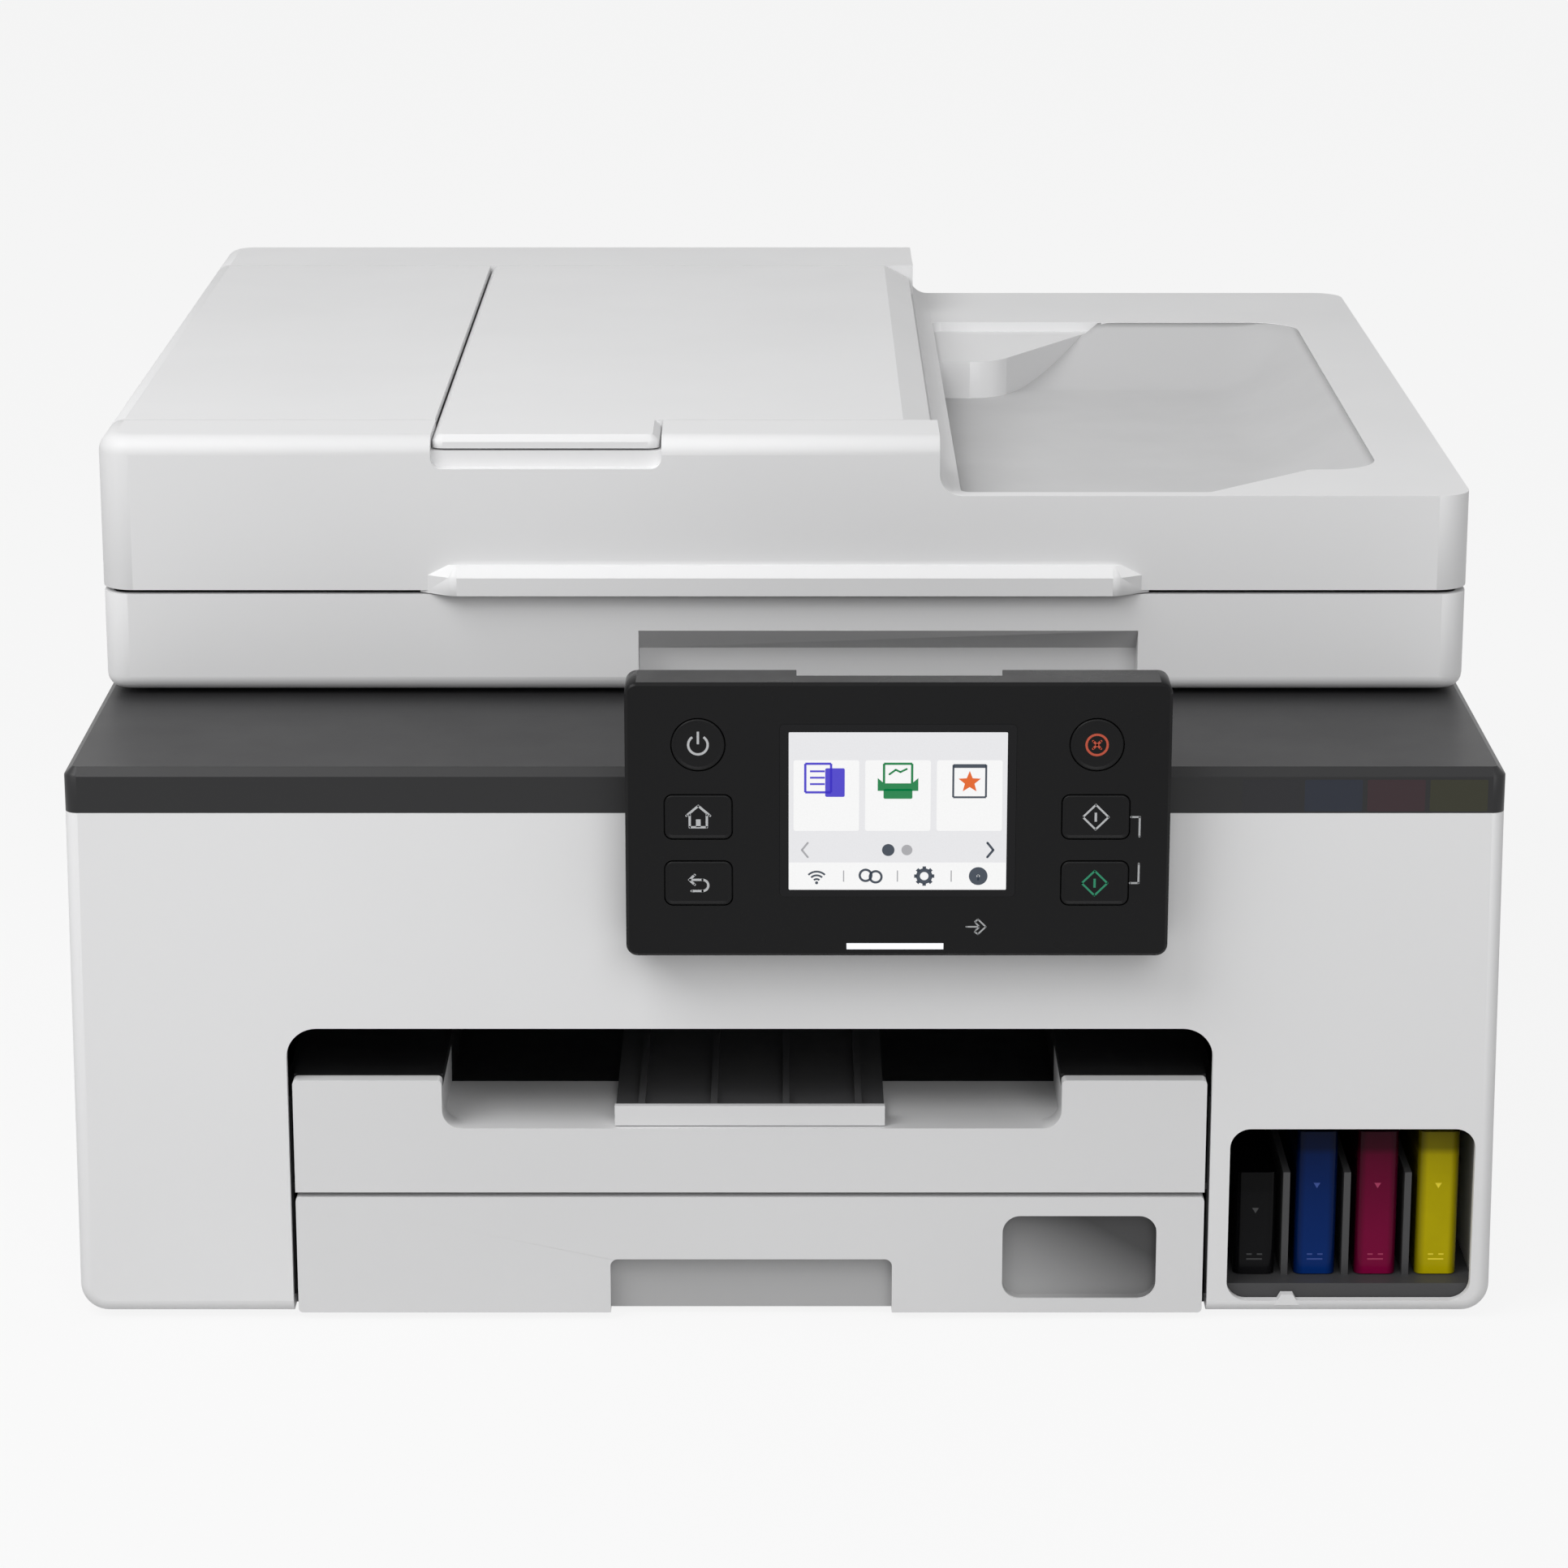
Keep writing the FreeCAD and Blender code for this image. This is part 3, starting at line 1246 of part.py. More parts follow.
def power_inlet():
    """Mains inlet in the rear wall with two contact pins. Its cord is a separate thing."""
    body = piece("power_inlet")
    middle = "(half_width - inlet_side)"
    left = f"({middle} - inlet_width / 2 + fit_gap)"
    right = f"({middle} + inlet_width / 2 - fit_gap)"
    low = "(inlet_z - inlet_height / 2 + fit_gap)"
    high = "(inlet_z + inlet_height / 2 - fit_gap)"
    mouth = "(rear_face - slide_gap)"
    add(body, "XZ", "rear_face - inlet_depth", mouth, rect(left, low, right, high, "inlet_corner - fit_gap"))
    cut(body, "XZ", f"{mouth} - inlet_depth / 2", f"{mouth} + wall",
        rect(f"{left} + thin_wall", f"{low} + thin_wall", f"{right} - thin_wall", f"{high} - thin_wall",
             "front_edge"))
    for side in ("-", "+"):
        add_disc(body, "XZ", f"{mouth} - inlet_depth / 2 - wall", f"{mouth} - wall",
                 f"{middle} {side} inlet_width / 6", "inlet_z", "thin_wall / 2")


def button_places():
    """Name, across, up and kind of every key on the panel."""
    rows = (("button_high_up", True), ("button_middle_up", False), ("button_low_up", False))
    names = {
        "button_left": ("button_power", "button_home", "button_back"),
        "button_right": ("button_stop", "button_start_black", "button_start_colour"),
    }
    for across, column in names.items():
        for (up, is_round), name in zip(rows, column):
            yield name, across, f"({PANEL_BOTTOM} + {up})", is_round


def key_outline(body, shape, start, end, across, up, is_round, extra):
    """Add or cut one key's outline, grown all round by an extra width."""
    if is_round:
        kind = {"add": add_disc, "cut": cut_disc}[shape]
        return kind(body, "XZ", start, end, across, up, f"button_round + {extra}")
    kind = {"add": add, "cut": cut}[shape]
    wide = f"(button_half_width + {extra})"
    tall = f"(button_half_height + {extra})"
    return kind(body, "XZ", start, end, rect(f"{across} - {wide}", f"{up} - {tall}", f"{across} + {wide}",
                                             f"{up} + {tall}", f"button_corner + {extra}"))


def display_outline(extra):
    middle = f"({PANEL_BOTTOM} + display_up)"
    return rect(f"display_x - display_width / 2 - {extra}", f"{middle} - display_height / 2 - {extra}",
                f"display_x + display_width / 2 + {extra}", f"{middle} + display_height / 2 + {extra}",
                f"display_corner + {extra}")


def light_outline(extra):
    return rect(f"light_left - {extra}", f"{PANEL_BOTTOM} + light_up - light_height / 2 - {extra}",
                f"light_right + {extra}", f"{PANEL_BOTTOM} + light_up + light_height / 2 + {extra}")


def panel_case():
    """Front shell of the control panel with the openings for the display, the keys and the light bar."""
    body = piece("panel_case")
    add(body, "XZ", PANEL_FRONT, PANEL_REAR,
        rect("panel_left", PANEL_BOTTOM, "panel_right", PANEL_TOP, "panel_corner"))
    bevel(body, "X", "panel_edge", lambda point, box: near(point.y, box.YMin) and near(point.z, box.ZMax))
    cut(body, "XZ", f"{PANEL_FRONT} + panel_wall", f"{PANEL_REAR} + wall",
        rect("panel_left + panel_wall", f"{PANEL_BOTTOM} + panel_wall", "panel_right - panel_wall",
             f"{PANEL_TOP} - panel_wall", "panel_corner - panel_wall / 2"))
    cut(body, "XZ", f"{PANEL_FRONT} + notch_setback", f"{PANEL_REAR} + wall",
        rect("notch_left", f"{PANEL_TOP} - notch_depth", "notch_right", f"{PANEL_TOP} + wall"))
    through = f"{PANEL_FRONT} - wall", f"{PANEL_FRONT} + panel_wall + wall"
    cut(body, "XZ", *through, display_outline("running_gap"))
    cut(body, "XZ", *through, light_outline("running_gap"))
    for name, across, up, is_round in button_places():
        key_outline(body, "cut", *through, across, up, is_round, "fit_gap")


def panel_back():
    """Rear plate of the control panel with the two hinge knuckles and their pins."""
    body = piece("panel_back")
    inset = "(panel_wall + running_gap)"
    add(body, "XZ", f"{PANEL_REAR} - panel_plate", PANEL_REAR,
        rect(f"panel_left + {inset}", f"{PANEL_BOTTOM} + {inset}", f"panel_right - {inset}",
             f"{PANEL_TOP} - {inset}", "panel_corner - panel_wall / 2"))
    for side in ("-", "+"):
        inner = f"({PANEL_MID} {side} (panel_hinge_out - panel_knuckle_width / 2))"
        outer = f"({PANEL_MID} {side} (panel_hinge_out + panel_knuckle_width / 2))"
        tip = f"({outer} {side} (slide_gap + panel_ear_width))"
        ends = sorted((inner, outer), key=value)
        add(body, "YZ", *ends, rect(f"{PANEL_REAR} - panel_plate / 2", f"{PANEL_PIVOT_Z} - panel_knuckle",
                                    PANEL_PIVOT_Y, f"{PANEL_PIVOT_Z} + panel_knuckle"))
        add_disc(body, "YZ", *ends, PANEL_PIVOT_Y, PANEL_PIVOT_Z, "panel_knuckle")
        add_disc(body, "YZ", *sorted((inner, tip), key=value), PANEL_PIVOT_Y, PANEL_PIVOT_Z, "panel_pin")


def panel_display():
    """Display module in the panel's front."""
    body = piece("panel_display")
    add(body, "XZ", PANEL_FRONT, f"{PANEL_FRONT} + display_depth", display_outline("0"))


def status_light():
    """Light guide bar along the panel's lower edge."""
    body = piece("status_light")
    add(body, "XZ", PANEL_FRONT, f"{PANEL_FRONT} + display_depth", light_outline("0"))


def panel_buttons():
    """Six keys, each with a flange behind the panel's front wall."""
    flange = f"({PANEL_FRONT} + panel_wall + fit_gap)"
    for name, across, up, is_round in button_places():
        body = piece(name)
        key_outline(body, "add", f"{PANEL_FRONT} - button_proud", f"{PANEL_FRONT} + button_depth", across, up,
                    is_round, "0")
        key_outline(body, "add", flange, f"{flange} + button_flange", across, up, is_round, "button_flange")


def hinge_slot(body, middle, axis_z, floor):
    """A walled slot at the rear of a case that a hinge lug stands in, with bores for the pin."""
    half = "(lug_width / 2 + lug_side_gap)"
    wide = f"({half} + wall)"
    top = f"({axis_z} + lug_front_room)"
    front = f"({SCANNER_AXIS_Y} - lug_front_room)"
    add(body, "YZ", f"{middle} - {wide}", f"{middle} + {wide}",
        rect(f"{front} - wall", f"{floor} + thin_wall", f"{SCANNER_REAR} - thin_wall / 2", f"{top} + wall"))
    cut(body, "YZ", f"{middle} - {half}", f"{middle} + {half}",
        rect(front, f"{floor} - wall", f"{SCANNER_REAR} + wall", top))
    cut_disc(body, "YZ", f"{middle} - {wide} - fit_gap", f"{middle} + {wide} + fit_gap",
             SCANNER_AXIS_Y, axis_z, "hinge_pin + running_gap")


def hinge_pins(name, across, axis_z):
    """Two steel pins along X through the hinge lugs."""
    pins = []
    length = "(lug_width + 2 * lug_side_gap + 2 * wall)"
    for side in ("-", "+"):
        pin = doc.addObject("Part::Cylinder", "pin")
        pin.Placement = FreeCAD.Placement(FreeCAD.Vector(), FreeCAD.Rotation(FreeCAD.Vector(0, 1, 0), 90))
        bind(pin, "Radius", "hinge_pin")
        bind(pin, "Height", length)
        bind(pin, "Placement.Base.x", f"{side}{across} - {length} / 2")
        bind(pin, "Placement.Base.y", SCANNER_AXIS_Y)
        bind(pin, "Placement.Base.z", axis_z)
        pins.append(pin)
    group(name, pins)


def scanner_case():
    """Scanner tub with a finger recess in front, hinge slots at the rear and the lid's lugs on top."""
    body = piece("scanner_case")
    add(body, "XY", SCANNER_BOTTOM, SCANNER_TOP,
        rect(f"-{SCANNER_HALF}", SCANNER_FRONT, SCANNER_HALF, SCANNER_REAR, "scanner_corner"))
    soften(body, "X", "hinge_round", lambda point, box: near(point.z, box.ZMin))
    inner = f"({SCANNER_HALF} - wall)"
    floor = f"({SCANNER_BOTTOM} + scanner_floor)"
    cut(body, "XY", floor, f"{SCANNER_TOP} + wall",
        rect(f"-{inner}", f"{SCANNER_FRONT} + wall", inner, f"{SCANNER_REAR} - wall",
             "scanner_corner - wall"))
    shelf_top = f"({SCANNER_TOP} - wall)"
    add(body, "XY", f"{shelf_top} - wall", shelf_top,
        rect(f"wall / 2 - {SCANNER_HALF}", f"{SCANNER_FRONT} + wall / 2", f"{SCANNER_HALF} - wall / 2",
             f"{SCANNER_REAR} - wall / 2", "scanner_corner - wall / 2"))
    cut(body, "XY", f"{shelf_top} - wall * 2", f"{shelf_top} + wall",
        rect(f"shelf - {inner}", f"{SCANNER_FRONT} + wall + shelf", f"{inner} - shelf",
             f"{SCANNER_REAR} - rear_strip", "tray_corner"))
    add(body, "XY", f"{shelf_top} - wall / 2", SCANNER_TOP,
        rect(f"wall / 2 - {SCANNER_HALF} + scanner_corner", f"{SCANNER_REAR} - rear_strip",
             f"{SCANNER_HALF} - wall / 2 - scanner_corner", f"{SCANNER_REAR} - wall / 2"))
    finger_recess(body)
    for side in ("-", "+"):
        hinge_slot(body, f"{side}scanner_lug_x", SCANNER_AXIS_Z, SCANNER_BOTTOM)
        lug(body, f"{side}lid_lug_x", "lug_width", SCANNER_AXIS_Y, LID_AXIS_Z, f"{SCANNER_TOP} - wall",
            "lug_radius", "hinge_pin + running_gap")


def finger_recess(body):
    """Recess in the scanner's front edge for lifting it, with a sloping upper side."""
    top = f"({SCANNER_BOTTOM} + finger_height)"
    back = f"({SCANNER_FRONT} + finger_depth)"
    add(body, "XY", f"{SCANNER_BOTTOM} + scanner_floor / 2", f"{top} + thin_wall",
        rect("finger_left - thin_wall", f"{SCANNER_FRONT} + thin_wall", "finger_right + thin_wall",
             f"{back} + thin_wall"))
    cut(body, "YZ", "finger_left", "finger_right", [
        (f"{SCANNER_FRONT} - wall", f"{SCANNER_BOTTOM} - wall"),
        (back, f"{SCANNER_BOTTOM} - wall"),
        (back, f"{top} - finger_slope"),
        (SCANNER_FRONT, top),
        (f"{SCANNER_FRONT} - wall", top),
    ])


def scanner_frame():
    """Top frame of the scanner with the windows for the flatbed and the feeder's glass strip."""
    body = piece("scanner_frame")
    edge = f"({SCANNER_HALF} - wall - fit_gap)"
    add(body, "XY", f"{SCANNER_TOP} - wall", SCANNER_TOP,
        rect(f"-{edge}", f"{SCANNER_FRONT} + wall + fit_gap", edge, f"{SCANNER_REAR} - rear_strip - fit_gap",
             "scanner_corner - wall"))
    through = f"{SCANNER_TOP} - wall * 2", f"{SCANNER_TOP} + wall"
    cut(body, "XY", *through, rect("-glass_half", "glass_front", "glass_half", "glass_rear"))
    cut(body, "XY", *through, rect("strip_left", "glass_front", "strip_right", "glass_rear"))


def scanner_glass():
    """Flatbed glass and the feeder's glass strip, held under the top frame."""
    plates = []
    for left, right in (("(-glass_half - glass_lap)", "(glass_half + glass_lap)"),
                        ("(strip_left - glass_lap / 2)", "(strip_right + glass_lap / 2)")):
        plate = doc.addObject("Part::Box", "glass")
        bind(plate, "Length", f"{right} - {left}")
        bind(plate, "Width", "glass_rear - glass_front + 2 * glass_lap")
        bind(plate, "Height", "glass_thickness")
        bind(plate, "Placement.Base.x", left)
        bind(plate, "Placement.Base.y", "glass_front - glass_lap")
        bind(plate, "Placement.Base.z", f"{SCANNER_TOP} - wall - glass_thickness")
        plates.append(plate)
    group("scanner_glass", plates)


def scan_head():
    """Scan bar under the glass with a bearing block that runs on the rod."""
    body = piece("scan_head")
    left = "(head_park - head_width / 2)"
    right = "(head_park + head_width / 2)"
    top = f"({SCANNER_TOP} - wall - glass_thickness - head_under_glass)"
    add(body, "YZ", left, right, rect("glass_front", f"{top} - head_height", "glass_rear", top))
    cut(body, "XY", f"{top} - thin_wall / 2", f"{top} + wall",
        rect(f"{left} + head_width / 3", "glass_front + head_width / 2", f"{right} - head_width / 3",
             "glass_rear - head_width / 2"))
    block = "rod_radius * 3"
    add(body, "YZ", left, right,
        rect(f"rod_y - {block}", f"{ROD_Z} - rod_radius - slide_gap", f"rod_y + {block}",
             f"{top} - head_height / 2"))
    cut_disc(body, "YZ", f"{left} - wall", f"{right} + wall", "rod_y", ROD_Z, "rod_radius + running_gap")


def scan_rail():
    """Rod that guides the scan head, from one side wall of the tub to the other."""
    body = piece("scan_rail")
    end = f"({SCANNER_HALF} - wall)"
    add_disc(body, "YZ", f"-{end}", end, "rod_y", ROD_Z, "rod_radius")


def lid_shell():
    """Scanner lid with the feeder's block on the left and the document recess on the right."""
    body = piece("lid_shell")
    add(body, "XY", LID_BOTTOM, LID_RIM,
        rect(f"-{LID_HALF}", SCANNER_FRONT, LID_HALF, SCANNER_REAR, "lid_corner"))
    add(body, "XY", f"{LID_RIM} - wall", LID_TOP, [
        (f"-{LID_HALF}", SCANNER_FRONT, "lid_corner"),
        ("block_right", SCANNER_FRONT),
        ("block_right", SCANNER_REAR),
        (f"-{LID_HALF}", SCANNER_REAR, "lid_corner"),
    ])
    foot = value("block_right"), value(LID_RIM)
    soften(body, "Y", "block_foot", lambda point, box: near(point.x, foot[0]) and near(point.z, foot[1]))
    soften(body, "X", "block_round", lambda point, box: near(point.z, box.ZMax) and near(point.y, box.YMin))
    document_recess(body)
    feeder_chamber(body)
    lid_underside(body)
    add(body, "XY", f"{LID_BOTTOM} - lip_drop", f"{LID_BOTTOM} + lip_height", [
        ("-lip_half", f"{SCANNER_FRONT} + wall / 2"),
        ("lip_taper - lip_half", f"{SCANNER_FRONT} - lip_proud", "lip_taper / 2"),
        ("lip_half - lip_taper", f"{SCANNER_FRONT} - lip_proud", "lip_taper / 2"),
        ("lip_half", f"{SCANNER_FRONT} + wall / 2"),
    ])
    lip_top = value(f"{LID_BOTTOM} + lip_height")
    bevel(body, "X", "lip_bevel", lambda point, box: near(point.y, box.YMin) and near(point.z, lip_top))


def document_recess(body):
    """Sunken output tray for documents, with a ledge at its rear left and a ramp at its front right."""
    floor = f"({LID_BOTTOM} + recess_floor)"
    above = f"{LID_RIM} + wall"
    left = "(block_right + block_foot)"
    right = f"({LID_HALF} - recess_side_rim)"
    front = f"({SCANNER_FRONT} + recess_front_rim)"
    rear = f"({SCANNER_REAR} - recess_rear_rim)"
    ledge = f"({rear} - ledge_depth)"
    cut(body, "XY", floor, above, [
        (left, front, "tray_corner"),
        ("ramp_left", front, "tray_corner"),
        ("ramp_left + ramp_depth", f"{front} + ramp_depth", "tray_corner"),
        (right, f"{front} + ramp_depth", "recess_round"),
        (right, rear, "recess_round"),
        ("ledge_end", rear, "recess_round"),
        ("ledge_turn", ledge, "recess_round"),
        (left, ledge),
    ])
    cut(body, "XY", f"{LID_RIM} - ledge_drop", above, [
        (left, f"{ledge} - ledge_drop"),
        ("ledge_turn", f"{ledge} - ledge_drop"),
        ("ledge_end + ledge_drop", f"{rear} - ledge_drop"),
        ("ledge_end + ledge_drop", rear),
        (left, rear, "tray_corner"),
    ])


def feeder_chamber(body):
    """Hollow of the feeder: sill for its cover, roller chamber, document input, paper exit and bores."""
    front = "(cover_front - cover_gap)"
    rear = "(cover_rear + cover_gap)"
    above = f"{LID_TOP} + wall"
    cut(body, "XY", FEEDER_SILL, above, rect(f"-{LID_HALF} - wall", front, "cover_split", rear))
    cut(body, "XY", f"{LID_BOTTOM} + feeder_floor", above,
        rect(f"chamber_wall - {LID_HALF}", front, "cover_split", rear))
    cut(body, "XY", f"{LID_TOP} - block_wall_drop", above,
        rect("cover_split - wall", front, "block_right + wall", rear))
    cut(body, "XY", f"{LID_TOP} - input_drop", above,
        rect("cover_split - wall", f"{front} + wall", "flap_pivot_x - flap_knuckle * 2", f"{rear} - wall"))
    cut(body, "YZ", "cover_split - wall", "block_right + block_foot + wall",
        rect(f"{front} + base_flange", f"{LID_BOTTOM} + recess_floor",
             f"{SCANNER_REAR} - recess_rear_rim - ledge_depth", f"{LID_BOTTOM} + recess_floor + exit_height"))
    tab_low = f"({LID_TOP} - flap_thickness - cover_gap)"
    cut(body, "XY", tab_low, above,
        rect("cover_split", "cover_front - flap_tab_reach - cover_gap", "flap_tab_right + cover_gap",
             "cover_front"))
    cut(body, "XZ", f"{SCANNER_FRONT} - wall", f"{SCANNER_FRONT} + tab_scoop_depth", [
        ("cover_split", f"{tab_low} - tab_scoop_height", "tray_corner"),
        ("flap_tab_right + cover_gap", f"{tab_low} - tab_scoop_height", "tray_corner"),
        ("flap_tab_right + cover_gap", above),
        ("cover_split", above),
    ])
    ends = f"{front} - pin_depth", f"{rear} + pin_depth"
    cut_disc(body, "XZ", *ends, "flap_pivot_x", FLAP_PIVOT_Z, "flap_pin + running_gap")
    cut_disc(body, "XZ", *ends, FEEDER_PIVOT_X, FEEDER_PIVOT_Z, "cover_pin + running_gap")
    for across, drop in (("adf_pickup_x", "adf_pickup_drop"), ("adf_feed_x", "adf_feed_drop")):
        cut_disc(body, "XZ", *ends, across, f"{LID_TOP} - {drop}", "adf_shaft + running_gap")


def lid_underside(body):
    """Shallow hollow for the white pad, the rear edge's chamfer and the hinge slots."""
    inner = f"({LID_HALF} - wall)"
    cut(body, "XY", f"{LID_BOTTOM} - wall", f"{LID_BOTTOM} + lid_hollow",
        rect(f"-{inner}", f"{SCANNER_FRONT} + wall", inner, f"{SCANNER_REAR} - wall - hinge_round",
             "lid_corner - wall"))
    cut(body, "YZ", f"-{LID_HALF} - wall", f"{LID_HALF} + wall", [
        (f"{SCANNER_REAR} - hinge_round - wall", f"{LID_BOTTOM} - wall"),
        (f"{SCANNER_REAR} + wall", f"{LID_BOTTOM} - wall"),
        (f"{SCANNER_REAR} + wall", f"{LID_BOTTOM} + hinge_round + wall"),
    ])
    for side in ("-", "+"):
        hinge_slot(body, f"{side}lid_lug_x", LID_AXIS_Z, LID_BOTTOM)


def lid_pad():
    """White backing pad that presses the document on the glass."""
    body = piece("lid_pad")
    add(body, "XY", f"{SCANNER_TOP} + pad_gap", f"{LID_BOTTOM} + lid_hollow",
        rect("-glass_half - pad_margin", "glass_front - pad_margin", "glass_half + pad_margin",
             "glass_rear + pad_margin", "tray_corner"))


def feeder_cover():
    """Cover over the feeder's rollers, an angle in section, hinged at its lower left edge."""
    body = piece("feeder_cover")
    low = f"({FEEDER_SILL} + fit_gap)"
    skin = "cover_thickness"
    right = "cover_split - cover_gap / 2"
    add(body, "XZ", "cover_front", "cover_rear", [
        (FEEDER_LEFT, low, "cover_thickness - running_gap"),
        (f"{FEEDER_LEFT} + {skin}", low),
        (f"{FEEDER_LEFT} + {skin}", f"{LID_TOP} - {skin}", "block_round - cover_thickness"),
        (right, f"{LID_TOP} - {skin}"),
        (right, LID_TOP),
        (FEEDER_LEFT, LID_TOP, "block_round"),
    ])
    rib = add(body, "XZ", "cover_front + feeder_rib_inset", "cover_front + feeder_rib_inset + thin_wall", [
        (f"{FEEDER_LEFT} + {skin} / 2", f"{low} + feeder_rib"),
        (f"{FEEDER_LEFT} + {skin} + thin_wall", f"{low} + feeder_rib"),
        (f"{FEEDER_LEFT} + {skin} + feeder_rib", f"{LID_TOP} - {skin} - thin_wall"),
        (f"{right} - feeder_rib", f"{LID_TOP} - {skin} - thin_wall"),
        (f"{right} - feeder_rib", f"{LID_TOP} - {skin} / 2"),
        (f"{FEEDER_LEFT} + {skin}", f"{LID_TOP} - {skin} / 2"),
    ])
    row(body, [rib], "Y", "feeder_rib_pitch", "feeder_rib_count")
    for start, end in (("cover_front - cover_gap - pin_depth + fit_gap", "cover_front + pin_depth"),
                       ("cover_rear - pin_depth", "cover_rear + cover_gap + pin_depth - fit_gap")):
        add_disc(body, "XZ", start, end, FEEDER_PIVOT_X, FEEDER_PIVOT_Z, "cover_pin")


def document_tray():
    """Flap over the feeder's input. It swings over to the right and then carries the documents."""
    body = piece("document_tray")
    left = "(cover_split + cover_gap / 2)"
    right = "(block_right - flap_end_gap)"
    under = f"({LID_TOP} - flap_thickness)"
    lip_low = f"({FLAP_PIVOT_Z} - flap_lip_drop)"
    add(body, "XZ", "cover_front", "cover_rear", [
        (left, under),
        ("flap_pivot_x - flap_lip_drop", under),
        ("flap_pivot_x - flap_lip_drop", lip_low),
        (right, lip_low),
        (right, f"{LID_TOP} - flap_bevel_drop"),
        (f"{right} - flap_bevel", LID_TOP),
        (left, LID_TOP),
    ])
    add(body, "XY", under, LID_TOP, [
        (left, "cover_front + wall"),
        (left, "cover_front - flap_tab_reach", "tray_corner"),
        ("flap_tab_right", "cover_front - flap_tab_reach", "tray_corner"),
        ("flap_tab_right", "cover_front + wall"),
    ])
    bevel(body, "X", "flap_thickness / 2",
          lambda point, box: near(point.y, box.YMin) and near(point.z, box.ZMax))
    for start, end in (("cover_front - cover_gap - pin_depth + fit_gap", "cover_front + pin_depth"),
                       ("cover_rear - pin_depth", "cover_rear + cover_gap + pin_depth - fit_gap")):
        add_disc(body, "XZ", start, end, "flap_pivot_x", FLAP_PIVOT_Z, "flap_pin")
    cut(body, "XY", f"{under} - wall", f"{under} + flap_thickness / 3",
        rect(f"{left} + base_flange", "cover_front + base_flange", "flap_pivot_x - base_flange",
             "cover_rear - base_flange", "tray_corner"))


def feeder_roller(name, across, drop, radius):
    """Feeder roller: a rubber sleeve in the middle of a shaft that turns in the lid's two cheeks."""
    body = piece(name)
    reach = "(cover_gap + pin_depth - fit_gap)"
    middle = "((cover_front + cover_rear) / 2)"
    turn(body, "YZ", across, f"{LID_TOP} - {drop}", [
        (f"cover_front - {reach}", "0"),
        (f"cover_front - {reach}", "adf_shaft"),
        (f"{middle} - adf_tyre_half", "adf_shaft"),
        (f"{middle} - adf_tyre_half", radius),
        (f"{middle} + adf_tyre_half", radius),
        (f"{middle} + adf_tyre_half", "adf_shaft"),
        (f"cover_rear + {reach}", "adf_shaft"),
        (f"cover_rear + {reach}", "0"),
    ])


def build_all():
    """Make every piece, from the floor up."""
    base_pan()
    main_cover()
    rear_cover()
    top_deck()
    rubber_feet()
    cassette_tray()
    cassette_front()
    side_guide("side_guide_left", "-")
    side_guide("side_guide_right", "+")
    output_tray()
    output_extension()
    tank_bay()
    for index, colour in enumerate(TANK_COLOURS):
        ink_tank(f"ink_tank_{colour}", index, "black_tank_top" if colour == "black" else "tank_top")
        tank_cap(f"tank_cap_{colour}", index)
    engine_frame()
    carriage_rail()
    carriage()
    carriage_belt()
    belt_pulley("drive_pulley", DRIVE_X)
    belt_pulley("idler_pulley", IDLER_X)
    carriage_motor()
    feed_roller()
    plates = f"{FRAME_LEFT} - frame_sheet", f"{FRAME_RIGHT} + frame_sheet"
    rollers = "pinch_count", "pinch_width"
    stepped_roller("pinch_rollers", "feed_y", PINCH_Z, *plates, "pinch_shaft", "pinch_radius", *rollers)
    stepped_roller("eject_roller", "eject_y", "eject_z", *plates, "eject_shaft", "eject_radius", *rollers)
    platen()
    purge_unit()
    pickup_arm()
    pickup_roller()
    main_board()
    power_supply()
    power_inlet()
    panel_case()
    panel_back()
    panel_display()
    status_light()
    panel_buttons()
    scanner_case()
    hinge_pins("scanner_hinge_pins", "scanner_lug_x", SCANNER_AXIS_Z)
    scanner_frame()
    scanner_glass()
    scan_head()
    scan_rail()
    lid_shell()
    hinge_pins("lid_hinge_pins", "lid_lug_x", LID_AXIS_Z)
    lid_pad()
    feeder_cover()
    document_tray()
    feeder_roller("adf_pickup_roller", "adf_pickup_x", "adf_pickup_drop", "adf_pickup_radius")
    feeder_roller("adf_feed_roller", "adf_feed_x", "adf_feed_drop", "adf_feed_radius")


def check_all():
    """Stop before writing if anything failed to build."""
    for item in doc.Objects:
        if "Invalid" in item.State or "Error" in item.State:
            raise RuntimeError(f"{item.Name} ({item.Label}) failed to build")
    for item in pieces:
        if item.Shape.isNull() or not item.Shape.isValid() or not item.Shape.Solids:
            raise RuntimeError(f"{item.Label} has no valid solid")


def write_all():
    """Write each piece to its own file."""
    os.makedirs("parts", exist_ok=True)
    for item in pieces:
        item.Shape.exportStep(f"parts/{item.Label}.step")


fill_sheet([OVERALL, BASE, TRAYS, TANKS, ENGINE, PANEL, SCANNER, LID])
build_all()
doc.recompute()
check_all()
write_all()
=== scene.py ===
import math

import bmesh
import bpy
from bpy.props import FloatProperty, FloatVectorProperty, PointerProperty
from mathutils import Matrix, Vector


